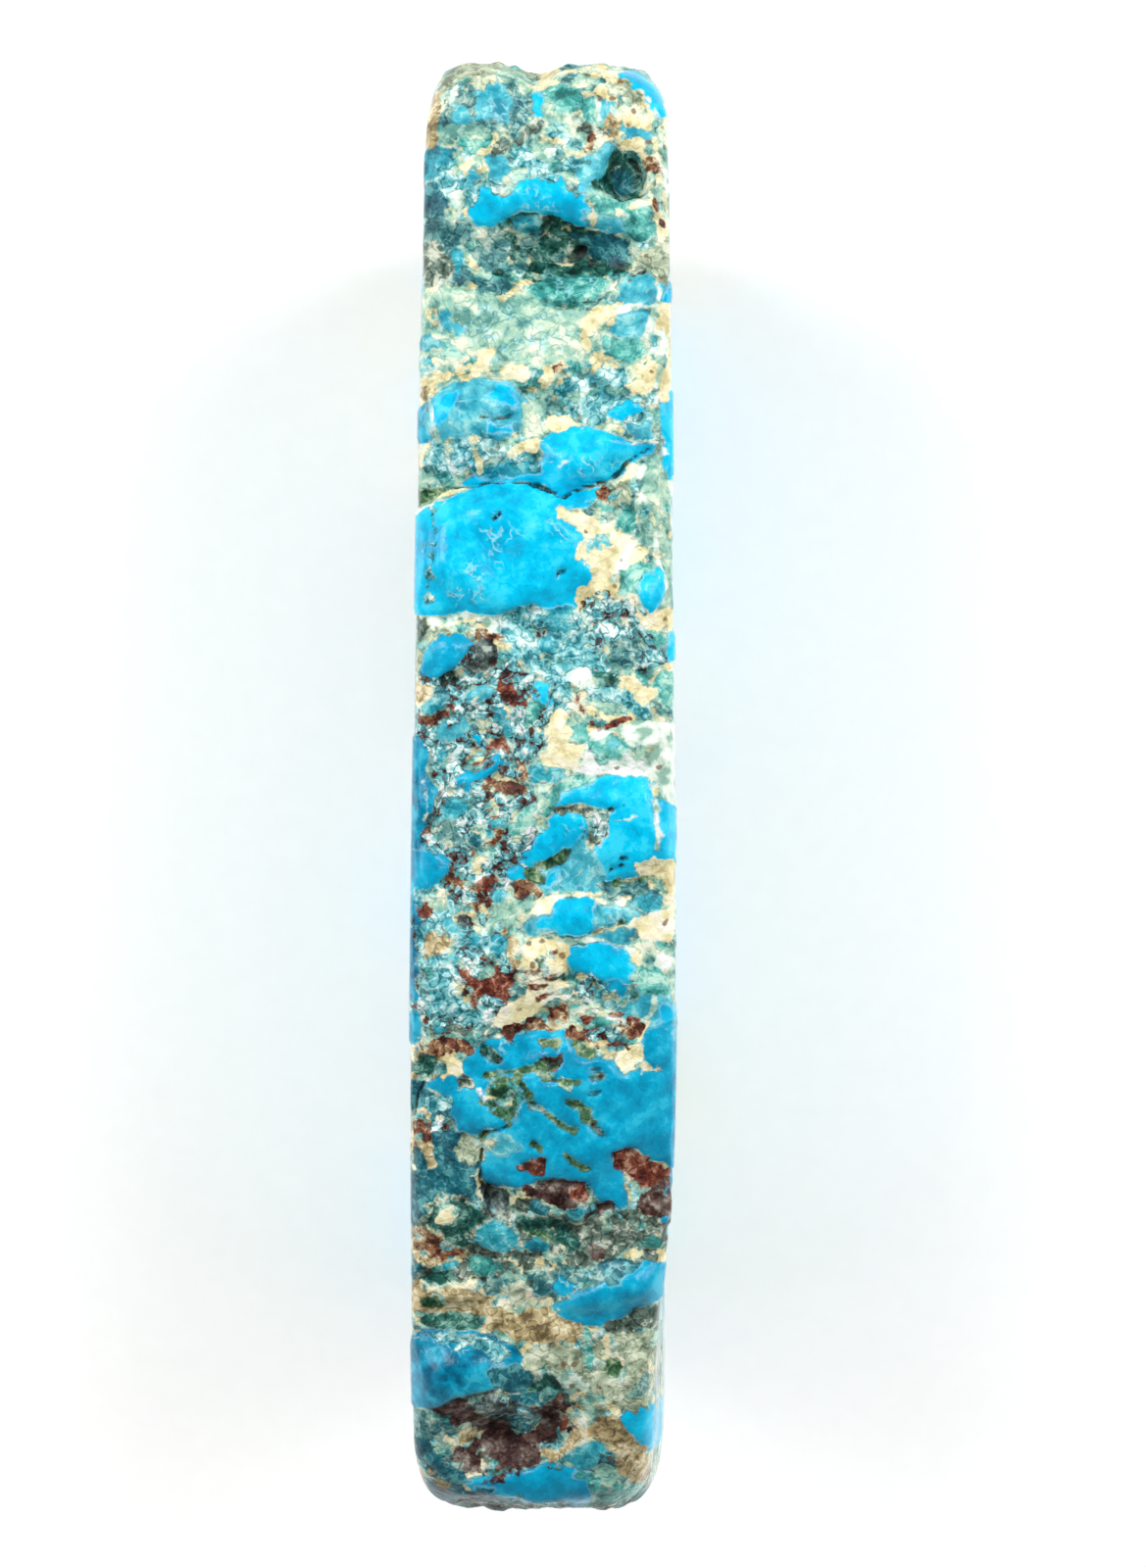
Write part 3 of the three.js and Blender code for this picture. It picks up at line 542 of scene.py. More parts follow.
# The right blue block and the arc and the bay around it.
BLOCK = [
    ("mint", "pale curve round the block", "541,797 551,810 555,832 547,848 530,855 511,859", 2.8),
    ("teal", "green lining of the curve", "556,834 560,820 568,806 584,798 604,793", 3.0),
    ("blue", "right blue block",
     "564,822 574,810 590,801 606,796 622,792 636,791 642,795 656,794 663,798 664,830 669,846 669,884"
     " 656,880 648,892 632,897 616,896 608,886 606,872 612,862 618,850 620,838 624,828 612,821 596,819"
     " 580,820 570,826"),
    ("clay", "grey-brown arc",
     "560,831 570,824 584,821 598,824 612,828 620,836 619,848 614,860 606,862 599,856 601,842 594,833"
     " 580,829 568,831"),
    ("salt", "white grains of the arc", "600,832 612,830 618,840 610,850 602,846"),
    ("blue", "left blue of the arc",
     "526,876 538,864 548,854 554,842 562,834 576,830 590,833 598,840 598,856 592,870 580,872 570,868"
     " 556,876 544,882 532,882"),
    ("blue", "lower left blue of the arc", "514,894 520,884 534,882 546,884 550,894 544,902 526,903"),
    ("aqua", "crumbled bay",
     "574,872 586,866 596,856 600,866 608,878 614,894 611,908 592,912 568,909 554,911 544,907 553,896"
     " 560,886"),
    ("blue", "blue under the streak", "556,888 570,883 573,896 562,907 550,908"),
    ("aqua", "pale blue of the bay", "594,888 606,886 613,898 606,910 588,911 578,904"),
    ("chalk", "white lip of the block", "620,832 618,850 612,862", 1.3),
    ("slate", "grey of the arc", "604,828 616,823 628,821 624,830 618,842 612,846"),
    ("olive", "first streak", "546,881 560,876 572,868 582,865 580,874 572,882 552,886"),
    ("olive", "second streak", "533,886 546,881 552,891 559,902 548,903 536,897"),
    ("rust", "rust under the left blue", "518,902 538,896 552,904 546,914 526,918"),
    (CRACKS, "slit left of the arc", "522,873 539,876", 1.3),
    (CRACKS, "slit in the block", "621,824 638,820", 1.0),
    ("dark", "three pores in the block", "624,886 625,887", 1.4),
    ("dark", "pore in the block", "632,883 634,882", 1.2),
    ("dark", "upper pore in the block", "635,874 638,874", 1.2),
    ("chalk", "thin white vein of the block", "627,837 640,836 650,831", 0.9),
    ("blue", "blue right rim of the block", "671,814 690,826 690,884 672,883 669,860"),
    ("chalk", "glint on the block's shoulder", "667,800 669,835 671,864", 2.0),
    ("cream", "cream under the block", "648,884 668,877 690,883 690,926 680,916 672,902 660,896 647,891"),
    ("slate", "grey-green under the block",
     "608,902 630,897 656,898 672,908 677,920 660,932 640,928 620,916"),
    ("azure", "azure drop", "646,916 662,908 674,916 671,930 656,934 643,926"),
    ("olive", "brown line under the block", "627,899 650,896 670,898", 1.5),
    ("olive", "brown knot", "624,896 634,895 632,904 625,904"),
    ("chalk", "white of the lip", "554,917 570,914 590,915 604,913 618,919 636,922", 2.4),
    (FROST, "frost in the bay", "574,836 594,836 600,860 614,896 604,912 572,908 564,888 578,872 580,852"),
    (DOTS, "dots under the block", "668,882 690,884 690,920 676,906"),
]

# The blue tongues with their lips and seams, and the rust under them.
TONGUES = [
    ("ice", "pale left crust",
     "424,912 440,905 456,908 462,920 472,926 482,936 474,946 498,950 514,957 514,978 492,980 476,968"
     " 464,976 460,1000 466,1015 488,1030 520,1026 512,1038 490,1046 450,1040 424,1034"),
    ("aqua", "pale blue of the left crust",
     "448,938 460,936 470,944 482,952 496,958 484,964 468,958 456,950"),
    ("azure", "azure of the left crust", "462,972 472,970 474,978 464,984 456,980"),
    ("azure", "blue chip of the left crust", "502,909 512,907 518,913 510,920 502,919"),
    ("teal", "pale teal of the left crust", "432,962 440,968 438,990 444,1006 434,1010 430,980"),
    ("rust", "rust between the grains", "474,902 486,906 496,914 494,926 486,932 478,924 480,914"),
    ("cream", "cream between the grains", "486,914 494,922 500,934 506,944 498,940 488,928"),
    ("clay", "dark crust at the bottom left", "434,1040 450,1044 466,1040 480,1046 484,1056 440,1060"),
    ("azure", "azure in the dark crust", "440,1046 452,1044 458,1052 446,1056"),
    ("azure", "azure finger", "498,960 506,955 514,960 513,974 504,978"),
    ("mint", "mint of the left crust", "432,914 450,910 459,924 448,936 434,930"),
    ("tan", "tan of the left crust", "438,957 452,951 463,962 452,973 436,975"),
    ("lead", "dark bean", "461,937 474,930 486,937 478,947 466,945"),
    ("maroon", "left rust scrap", "424,922 434,920 440,930 434,938 426,934"),
    ("mint", "pale crust by the tongue", "498,926 520,916 546,910 556,916 540,930 528,944 510,946 500,940"),
    ("butter", "lip of the middle tongue",
     "536,932 546,922 556,913 570,911 590,912 602,910 614,915 628,919 642,918 640,924 624,925 610,922"
     " 600,917 584,919 566,921 564,932 550,935"),
    ("aqua", "tail of the middle tongue", "532,945 539,937 550,933 562,931 566,942 564,952 548,954 538,951"),
    ("blue", "middle tongue",
     "548,936 562,931 562,924 572,920 588,920 598,917 606,919 612,924 618,934 614,944 604,949 596,956"
     " 584,958 572,954 560,950 548,948"),
    ("aqua", "pale blue right of the tongue",
     "610,924 626,922 642,924 656,932 660,944 648,950 630,948 614,950 606,946"),
    ("blue", "blue scraps right of the tongue", "618,928 630,930 642,933", 2.6),
    ("aqua", "pale blue scraps right of the tongue", "624,938 640,940 652,942", 2.2),
    ("olive", "brown seam of the tongue", "600,952 620,946 640,940", 1.4),
    ("butter", "right cream of the tongues",
     "642,946 656,936 676,928 690,922 690,962 680,968 670,960 656,958 648,954"),
    ("mint", "pale green right of the tongues",
     "648,958 664,956 678,962 690,960 690,1004 676,1000 660,990 650,978"),
    ("chalk", "white rim of the tongues", "688,930 689,960 689,1000", 1.5),
    ("aqua", "pale blue chips between the tongues",
     "606,958 620,952 636,948 650,948 644,958 628,962 612,962"),
    ("teal", "teal under the middle tongue", "566,955 580,960 596,960", 2.4),
    ("mint", "mint disc", "652,964 664,959 676,966 679,976 668,983 656,979"),
    ("chalk", "white disc", "666,979 671,973 679,972 686,977 688,985 683,991 674,992 667,987"),
    ("chalk", "white seam over the lower tongue", "574,962 590,960 606,961 622,963 638,968 650,975", 2.5),
    ("cream", "cream wedge of the seam", "640,970 652,968 660,976 654,986 646,980"),
    ("blue", "lower tongue",
     "577,975 582,966 592,964 604,966 616,963 630,966 644,972 640,979 648,985 652,996 644,1003 632,1002"
     " 618,1002 604,996 592,989 582,984"),
    ("lake", "blue under the lower tongue", "620,1004 632,1003 640,1006 636,1014 626,1015"),
    ("teal", "tail of the lower tongue",
     "650,987 660,984 670,986 679,996 680,1004 668,1010 654,1010 658,1000 652,994"),
    ("aqua", "pale blue tip of the tail", "650,1008 664,1004 680,1006 684,1018 670,1022 656,1018"),
    ("cream", "cream knoll",
     "528,978 540,964 552,953 566,953 581,962 579,980 579,993 568,994 556,989 540,993 528,989"),
    ("dark", "star pore of the knoll", "551,986 553,981", 1.7),
    ("dark", "pore of the knoll", "547,980 548,980", 1.1),
    ("maroon", "rust ring of the knoll", "561,972 566,971 566,975 562,975", 0.8),
    ("moss", "green corner of the knoll", "566,996 576,992 580,1000 572,1004"),
    ("butter", "slanting band",
     "494,1056 502,1042 510,1030 524,1020 532,1008 546,1000 566,998 584,1004 594,1014 584,1022 566,1018"
     " 554,1026 546,1036 530,1044 514,1050"),
    ("ice", "grey grains under the tongue",
     "582,994 598,994 614,1004 628,1014 642,1016 640,1026 620,1032 600,1026 588,1012"),
    ("salt", "dark grains under the tongue", "588,1000 602,998 612,1008 606,1018 594,1014"),
    ("sand", "second dark grains under the tongue", "618,1014 630,1018 638,1023", 1.6),
    ("maroon", "great rust mass",
     "474,974 488,972 502,980 514,986 526,990 530,1000 522,1008 526,1018 514,1024 508,1032 494,1030 482,1030"
     " 476,1020 482,1010 472,1004 464,996 466,988 478,990 482,984"),
    ("maroon", "first dark heart of the rust", "476,976 488,974 496,980", 2.4),
    ("maroon", "second dark heart of the rust", "508,992 518,990 526,996", 2.6),
    ("salt", "white grains of the rust", "482,986 494,982 502,988 500,996 488,998 480,992"),
    ("salt", "grains under the rust", "486,1020 500,1018 512,1022 506,1030 490,1030"),
    ("mint", "pale eye in the rust", "484,988 496,985 504,990 496,997 486,996"),
    ("rust", "rust row, left",
     "540,1040 556,1034 570,1026 580,1034 578,1050 562,1052 546,1050 536,1056 500,1058 512,1050"),
    ("maroon", "first curl of the slanting band", "532,1012 540,1006 552,1008 562,1004", 1.1),
    ("maroon", "curl under the knoll", "526,992 538,996 550,992 560,998 574,996", 1.4),
    ("maroon", "second curl of the slanting band", "548,1020 556,1014 568,1012 580,1014 590,1022", 1.3),
    ("tan", "third curl of the slanting band", "556,1034 560,1026 570,1024 576,1032 570,1042", 2.2),
    ("tan", "sandy curls left of the knoll", "512,950 522,958 520,972 528,984", 2.6),
    ("maroon", "rust row, spot", "587,1035 598,1033 605,1040 595,1046"),
    ("rust", "rust row, right", "577,1051 588,1046 598,1056 592,1068 580,1062"),
    ("aqua", "right lower blue",
     "628,1032 644,1024 658,1016 674,1012 684,1020 690,1034 690,1056 668,1052 652,1046 638,1042"),
    ("blue", "bright rim of the lower right", "668,1026 680,1016 690,1030 690,1062 676,1056 670,1042"),
    ("teal", "teal under the white seam", "604,1042 622,1042 644,1047 652,1052 630,1052 612,1050"),
    ("maroon", "rust knot, upper", "622,1034 632,1031 638,1037 628,1042"),
    ("maroon", "rust knot, right", "640,1040 648,1038 652,1042 644,1044"),
    ("chalk", "white seam right", "600,1018 610,1030 624,1039 640,1044 654,1045 663,1036 668,1020", 2.3),
    ("chalk", "knot of the white seam", "664,1020 670,1018 672,1026 666,1030"),
    ("chalk", "white seam over the middle tongue's tail", "560,956 578,960 596,958", 1.2),
    ("cream", "cream seam right of the tongue", "612,950 630,944 646,950", 1.4),
    ("teal", "green wisps under the right cream", "650,992 668,988 686,1000 684,1012 664,1010 648,1004"),
    # Painted shade: the left rim, drawn in the darker deep blue where it turns away from the light.
    ("deep", "left polished rim, thin", "414,912 427,914 428,960 427,1000 427,1040 430,1058 414,1066"),
    ("chalk", "white line of the rim", "428,988 428,1028 431,1056", 0.9),
    (FROST, "frost on the left crust", "428,936 480,944 512,958 500,976 440,1036 428,1030"),
    (FROST, "frost on the ice", "614,926 650,930 650,944 620,944"),
    (DOTS, "dots in the cream knoll", "534,960 578,960 578,994 534,990"),
    (DOTS, "dots in the slanting band", "520,1004 590,1004 590,1030 520,1046"),
    (DOTS, "dots in the right cream", "650,940 688,930 688,960 660,960"),
]

# The smooth blue field, with its comb of green streaks and the fissure under it.
FIELD = [
    ("rust", "rust under the crust", "432,1064 452,1056 474,1060 484,1072 472,1079 452,1077 438,1075"),
    ("cream", "cream under the rust", "444,1082 456,1075 472,1079 478,1090 472,1099 454,1101 446,1095"),
    ("tan", "rim of the green pocket", "414,1080 430,1073 448,1076 454,1094 440,1102 420,1102 414,1096"),
    ("moss", "green pocket", "417,1086 430,1078 443,1080 449,1091 438,1098 424,1097"),
    ("petrol", "dark ground left of the field",
     "414,1102 432,1104 442,1116 454,1128 460,1142 464,1156 478,1164 490,1176 488,1198 470,1202 450,1198"
     " 414,1194"),
    ("lake", "smooth blue field",
     "466,1098 476,1083 490,1067 504,1062 524,1058 548,1053 575,1053 586,1062 592,1074 610,1080 624,1087"
     " 636,1099 652,1094 672,1094 660,1080 654,1066 660,1052 676,1046 692,1040 692,1256 676,1252 682,1200"
     " 672,1184 650,1176 628,1176 626,1190 636,1204 640,1236 622,1230 600,1215 580,1205 540,1207 520,1209"
     " 500,1211 490,1190 492,1172 500,1161 490,1155 470,1153 462,1140 460,1124 450,1112 434,1110 446,1101"),
    ("cream", "cream star",
     "622,1072 636,1067 644,1058 650,1049 666,1042 656,1058 653,1068 657,1082 674,1093 662,1095 650,1090"
     " 640,1097 632,1091 626,1082"),
    ("rust", "brown band over the star",
     "596,1057 608,1047 626,1047 644,1045 654,1050 646,1063 632,1071 616,1069 604,1063"),
    ("salt", "white grains of the band", "602,1056 612,1050 626,1050 634,1058 620,1066 606,1062"),
    ("chalk", "white line by the star", "586,1062 604,1068 616,1074 628,1076", 1.2),
    ("olive", "olive corner", "580,1062 592,1062 604,1070 612,1076 602,1082 588,1077"),
    ("teal", "ground of the comb", "500,1100 524,1102 534,1118 528,1138 518,1142 500,1128"),
    ("olive", "first tooth of the comb", "494,1123 508,1129 520,1136 527,1142", 3.6),
    ("olive", "second tooth of the comb", "499,1111 510,1117 520,1126 526,1136", 2.8),
    ("olive", "third tooth of the comb", "504,1103 514,1109 522,1117 527,1128", 2.8),
    ("olive", "back of the comb", "495,1097 508,1099 522,1101 534,1107 541,1116", 3.2),
    ("olive", "root of the comb", "503,1133 513,1141 521,1148", 2.6),
    ("cream", "glints of the comb", "498,1117 508,1123 518,1131", 1.6),
    ("olive", "dashes over the comb", "505,1093 520,1091 536,1093", 2.4),
    ("olive", "long olive streak", "541,1125 552,1132 564,1141 576,1149 586,1153", 3.6),
    ("mint", "chip on the streak", "540,1126 544,1131", 2.4),
    ("olive", "short olive streak", "578,1124 590,1130 604,1134", 3.4),
    ("olive", "olive club", "597,1140 605,1147 614,1156", 4.8),
    ("maroon", "heart of the club", "606,1148 614,1156", 2.6),
    ("olive", "bow in the blue", "552,1062 560,1060 571,1062 568,1071 560,1068 553,1070"),
    ("rust", "rust left of the bow", "555,1063 556,1067", 1.9),
    ("olive", "olive ridge", "527,1097 538,1092 552,1088 568,1083", 3.8),
    ("rust", "end of the ridge", "558,1084 568,1083", 2.6),
    ("moss", "green grains at the top left", "488,1064 502,1068 512,1076 512,1088 500,1085 490,1076"),
    ("olive", "eye in the blue", "599,1096 608,1093 618,1098 611,1105 602,1104"),
    ("maroon", "heart of the eye", "604,1100 612,1099", 1.9),
    ("dark", "lid of the eye", "603,1090 611,1090", 1.3),
    ("dark", "fleck under the eye", "602,1115 612,1114", 1.4),
    ("mint", "faint scratches", "553,1096 564,1102 580,1108", 2.2),
    ("olive", "faint olive", "552,1099 560,1101 572,1104 590,1104", 2.4),
    ("olive", "small cross", "544,1168 551,1172", 3.2),
    ("olive", "last olive", "578,1178 588,1186 596,1191", 3.0),
    ("chalk", "white chip of the comb", "493,1112 496,1121", 2.4),
    ("clay", "lump on the lobe", "466,1101 478,1100 481,1108 470,1109"),
    (CRACKS, "black crack of the rim", "434,1104 425,1118 422,1137", 1.5),
    ("ice", "pale round", "437,1127 446,1117 459,1124 455,1133 441,1135"),
    ("tan", "pink tan at the rim", "416,1136 432,1131 441,1142 435,1158 441,1170 432,1177 416,1164"),
    ("rust", "heart of the pink tan", "422,1140 434,1138 438,1150 430,1168 422,1164"),
    ("salt", "round of grains", "443,1142 454,1136 462,1144 458,1155 446,1153"),
    ("sand", "sandy round", "462,1173 472,1161 484,1163 495,1170 493,1184 480,1188 468,1183"),
    ("cream", "first tooth at the rim", "418,1174 421,1191", 1.6),
    ("tan", "second tooth at the rim", "426,1158 433,1172 438,1186", 2.0),
    ("cream", "third tooth at the rim", "436,1172 441,1191", 1.0),
    ("olive", "brown by the round", "486,1164 494,1155 502,1157 492,1167"),
    (CRACKS, "start of the fissure", "494,1158 504,1156 519,1150", 1.3),
    ("aqua", "pale fan", "490,1168 500,1157 512,1160 528,1169 514,1176 497,1175"),
    ("cream", "heart of the fan", "490,1168 498,1160 508,1164 502,1173"),
    (CRACKS, "fissure", "491,1174 490,1190 493,1204 497,1220 504,1241", 1.5),
    ("maroon", "rust eye", "530,1188 542,1181 557,1184 557,1195 544,1197 534,1193"),
    ("maroon", "rust flake",
     "622,1177 636,1171 651,1173 664,1181 678,1186 685,1196 684,1216 680,1238 669,1251 656,1249 654,1234"
     " 657,1221 653,1209 644,1202 638,1194 627,1191"),
    ("plum", "dark foot of the flake", "655,1214 682,1206 682,1234 674,1249 660,1250 654,1238"),
    (FROST, "frost over the field's top", "500,1062 548,1056 520,1072 500,1084"),
    (DOTS, "dots in the sandy round", "466,1166 490,1166 490,1184 468,1184"),
]

# The foot: the gully, the pods, the ribs, the low cushion and the rusty cavity.
FOOT = [
    ("clay", "grey-green ground of the foot",
     "414,1226 470,1222 500,1236 540,1226 600,1234 640,1232 688,1250 688,1286 640,1284 600,1296 560,1290"
     " 540,1312 500,1300 470,1310 414,1300"),
    ("petrol", "dark blue at the lower left",
     "414,1192 440,1197 470,1201 486,1206 492,1222 480,1227 464,1222 448,1227 436,1237 432,1250 414,1252"),
    ("petrol", "second dark blue at the lower left", "438,1202 470,1206 482,1220 452,1223 440,1214"),
    ("plum", "rust ridge",
     "532,1212 548,1203 570,1203 590,1206 605,1211 608,1224 620,1232 624,1244 612,1252 602,1243 590,1237"
     " 570,1239 556,1231 542,1222"),
    ("maroon", "red end of the ridge", "578,1212 590,1206 602,1212 604,1224 594,1230 582,1226 574,1220"),
    ("plum", "brown over the slope", "602,1232 616,1226 630,1234 634,1248 624,1260 612,1256 606,1244"),
    ("lead", "dark crystals", "486,1212 500,1205 515,1211 522,1223 513,1239 504,1245 495,1235 489,1222"),
    ("clay", "clay grain", "519,1238 530,1225 532,1236 523,1244"),
    ("cream", "first cream grain", "537,1210 546,1205 547,1215"),
    ("petrol", "blue rib under the rust", "534,1228 548,1225 562,1234 557,1241 543,1237"),
    ("azure", "azure bean", "578,1238 592,1233 602,1241 590,1249 579,1245"),
    ("moss", "dark gully",
     "524,1240 545,1239 566,1247 582,1256 592,1271 588,1277 570,1263 550,1253 532,1249"),
    ("olive", "olive slope of the gully", "530,1250 548,1252 566,1262 560,1270 544,1262"),
    ("moss", "dark floor of the gully", "566,1264 580,1258 590,1268 580,1276"),
    ("clay", "ash slope",
     "588,1252 606,1243 624,1236 640,1243 656,1252 668,1262 652,1271 640,1277 624,1291 610,1287 600,1277"
     " 592,1266"),
    ("mint", "pale of the ash slope", "610,1242 624,1242 622,1258 612,1262"),
    ("plum", "red grain of the slope", "602,1272 612,1270 616,1284 606,1288"),
    ("moss", "dark oval",
     "433,1241 440,1230 456,1224 474,1222 487,1230 496,1240 491,1251 479,1255 472,1264 480,1270 468,1275"
     " 452,1267 440,1255"),
    ("cream", "core of the oval", "441,1242 449,1233 463,1229 467,1237 461,1248 450,1251 443,1248"),
    ("sand", "rim of the oval", "434,1244 440,1231 456,1223 474,1221 488,1229 497,1241", 2.2),
    ("cream", "rim of the pods", "432,1250 444,1260 458,1272", 2.2),
    ("azure", "azure pod",
     "477,1264 488,1252 504,1246 520,1251 531,1262 535,1275 520,1277 500,1278 484,1271"),
    ("cream", "rim of the azure pod", "476,1262 488,1251 504,1245 521,1250 532,1262 535,1274", 1.2),
    ("azure", "little azure", "535,1267 548,1262 561,1266 559,1277 540,1277"),
    ("tan", "pink rock",
     "414,1256 432,1250 446,1262 462,1275 478,1276 481,1285 462,1289 440,1295 424,1287 414,1272"),
    ("rust", "heart of the pink rock", "422,1262 440,1260 456,1272 470,1280 452,1286 430,1282"),
    ("petrol", "dark blue scrap at the rim", "414,1290 430,1287 429,1299 414,1303"),
    ("azure", "azure scrap inside", "451,1290 468,1287 467,1296 454,1299"),
    ("teal", "teal knob", "479,1285 498,1281 508,1295 492,1303 480,1297"),
    ("tan", "brown rock",
     "414,1308 440,1316 470,1313 490,1319 504,1331 522,1337 540,1330 556,1334 580,1342 602,1352 592,1373"
     " 560,1371 536,1373 520,1363 500,1357 480,1359 494,1352 490,1341 470,1337 440,1337 414,1342"),
    ("moss", "upper green pocket", "428,1304 446,1296 463,1298 468,1308 452,1315 437,1313"),
    ("cream", "cream arc", "507,1287 519,1284 530,1292 533,1299", 2.6),
    ("cream", "second cream grain", "539,1287 555,1281 558,1298 548,1295"),
    ("cream", "third cream grain", "560,1286 578,1283 581,1290 562,1295"),
    ("slate", "pale knob", "479,1309 500,1303 517,1302 515,1317 496,1321 482,1317"),
    ("dark", "first hole", "482,1304 483,1304", 1.6),
    ("dark", "second hole", "490,1304 491,1305", 1.4),
    ("sand", "sandy ridge", "514,1304 534,1306 540,1322 530,1336 516,1336 512,1320"),
    ("olive", "brown of the rock", "430,1328 448,1323 452,1332 436,1335"),
    ("moss", "lower green pocket", "420,1352 436,1342 460,1341 486,1344 496,1352 482,1359 460,1358 438,1355"),
    ("slate", "broken blue", "536,1300 560,1296 580,1289 602,1296 597,1311 581,1323 560,1328 542,1320"),
    ("lake", "blue in the broken part", "560,1309 576,1300 589,1310 581,1323 567,1319"),
    ("petrol", "dark blue beside the rib", "608,1293 630,1283 650,1288 642,1301 622,1306"),
    ("slate", "second pale knob", "594,1301 606,1297 615,1304 608,1313 597,1311"),
    ("lake", "blue rib",
     "688,1288 668,1283 654,1289 640,1300 620,1310 600,1316 586,1324 568,1334 572,1345 592,1351 614,1351"
     " 636,1343 656,1331 688,1318"),
    ("teal", "green over the rib", "650,1263 668,1261 688,1268 672,1277 656,1271"),
    ("cream", "cream over the rib", "638,1275 652,1269 658,1279 644,1285"),
    ("cream", "cream at the right rim", "662,1278 680,1273 690,1280 684,1290 670,1286"),
    ("chalk", "white seam over the rib", "658,1258 672,1259 684,1266", 1.2),
    # Painted shade: the grey-brown under the blue rib, where the rib shades the stone below it.
    ("clay", "grey under the rib", "616,1354 640,1344 660,1334 688,1322 684,1354 664,1358 640,1358 618,1366"),
    ("sand", "pale ribs", "600,1358 640,1360 684,1352 680,1400 674,1432 650,1436 620,1433 600,1425 594,1400"),
    ("teal", "first teal rib", "598,1360 602,1378 602,1394", 4.0),
    ("slate", "second teal rib", "645,1424 652,1402 664,1396 669,1418 658,1430"),
    ("cream", "cream rib", "618,1366 620,1388", 5.0),
    ("olive", "brown of the ribs", "616,1390 630,1384 638,1395 632,1405 618,1403"),
    ("teal", "third teal rib", "671,1360 675,1392", 4.0),
    ("cream", "cream right of the ribs", "658,1384 668,1388 672,1402 662,1400"),
    ("sand", "pale sand",
     "534,1374 560,1373 592,1375 601,1385 597,1403 580,1401 560,1393 553,1402 548,1412 540,1402 533,1389"),
    # Painted shade: the low cushion, drawn in the darker deep blue where the light falls off at the foot.
    ("deep", "low blue cushion",
     "414,1370 430,1359 456,1357 480,1362 504,1366 524,1375 537,1390 545,1404 541,1418 524,1421 510,1415"
     " 500,1421 486,1427 470,1433 450,1436 414,1434"),
    ("petrol", "teal end of the cushion", "498,1402 516,1394 540,1397 546,1410 537,1421 516,1419 504,1414"),
    # Painted highlight: the pale top rim of the low cushion, which faces the light.
    ("ice", "ice rim of the cushion",
     "426,1362 456,1359 486,1364 510,1370 524,1380 512,1392 500,1386 484,1376 456,1370"),
    # Painted shade: the dark under the low cushion, which bulges and faces down, away from the light.
    ("moss", "dark under the cushion", "538,1414 558,1400 568,1411 580,1420 584,1432 562,1428 540,1428"),
    ("chalk", "white-green fan", "554,1396 570,1400 590,1403 602,1411 600,1423 582,1425 568,1413"),
    ("plum", "rust cavity",
     "446,1438 454,1431 470,1427 486,1423 502,1419 520,1422 538,1432 556,1436 568,1424 576,1426 588,1442"
     " 586,1456 578,1467 566,1472 552,1478 550,1484 554,1491 540,1498 520,1505 500,1509 484,1508 466,1500"
     " 452,1488 468,1480 482,1476 488,1466 476,1456 462,1450 450,1446"),
    ("lead", "crystals in the cavity", "478,1434 500,1423 520,1428 528,1440 517,1451 504,1447 490,1441"),
    ("petrol", "blue-black of the cavity", "520,1424 545,1420 560,1428 552,1440 530,1436"),
    ("petrol", "ring of the bead", "517,1446 528,1436 545,1438 549,1450 540,1460 526,1460 518,1454"),
    ("ice", "bead", "523,1445 532,1438 543,1442 543,1452 532,1459 524,1453"),
    ("slate", "second bead", "549,1425 560,1417 569,1424 562,1435 551,1433"),
    ("maroon", "red wall of the cavity", "566,1420 574,1424 580,1440 578,1462 570,1470 572,1448 568,1434"),
    ("clay", "grey lump at the foot of the cavity", "490,1482 500,1480 506,1488 500,1498 492,1496"),
    ("tan", "tan scrap in the cavity", "464,1458 478,1455 488,1462 484,1470 472,1474 462,1468"),
    ("tan", "orange edge of the cavity", "577,1442 590,1434 593,1448 585,1458"),
    ("slate", "pale left of the cavity",
     "414,1446 424,1438 436,1442 450,1450 464,1462 468,1472 458,1478 442,1470 428,1460 416,1456"),
    ("cream", "cream fleck of the pale left", "452,1468 464,1466 468,1473 458,1475"),
    ("sand", "pale sand right of the cavity",
     "590,1424 606,1426 620,1434 616,1452 606,1468 596,1460 590,1444"),
    ("tan", "sand right of the cavity",
     "544,1482 558,1475 572,1473 582,1463 590,1452 596,1462 606,1458 612,1446 624,1442 636,1450 640,1460"
     " 652,1472 664,1482 668,1500 656,1512 642,1514 632,1500 628,1486 614,1474 598,1470 584,1478 574,1488"
     " 560,1490"),
    ("mint", "mint in the sand", "592,1420 606,1424 612,1445 600,1456 592,1442"),
    ("blue", "blue of the right rim below",
     "634,1449 648,1438 664,1433 680,1434 676,1462 664,1479 653,1474 644,1463"),
    ("azure", "azure above the foot",
     "578,1488 588,1478 600,1473 612,1475 622,1484 622,1496 608,1498 592,1498"),
    ("petrol", "dark blue above the foot", "614,1486 626,1484 626,1500 616,1506 610,1498"),
    # Painted shade: the foot's end turns away from the light, so its left side, its dark band and its lip are
    # drawn dark.
    ("petrol", "dark green foot, left",
     "405,1484 424,1492 446,1506 466,1517 490,1522 520,1530 540,1536 520,1550 470,1550 430,1530 405,1505"),
    ("slate", "grey green foot, right",
     "600,1500 630,1506 645,1514 668,1508 660,1540 600,1556 540,1556 520,1530 560,1500"),
    ("petrol", "dark blue band of the foot",
     "414,1458 424,1466 438,1477 450,1487 462,1500 478,1511 470,1516 452,1506 436,1494 414,1480"),
    ("lake", "blue foot band",
     "470,1512 496,1509 520,1505 540,1499 560,1496 576,1499 592,1497 602,1502 606,1513 618,1520 620,1529"
     " 600,1535 570,1535 540,1532 510,1526 486,1521"),
    ("teal", "teal end of the foot band",
     "588,1500 610,1508 640,1517 660,1513 648,1528 620,1536 598,1534 610,1520"),
    ("tan", "tan streak of the foot", "416,1490 436,1504 454,1515", 2.4),
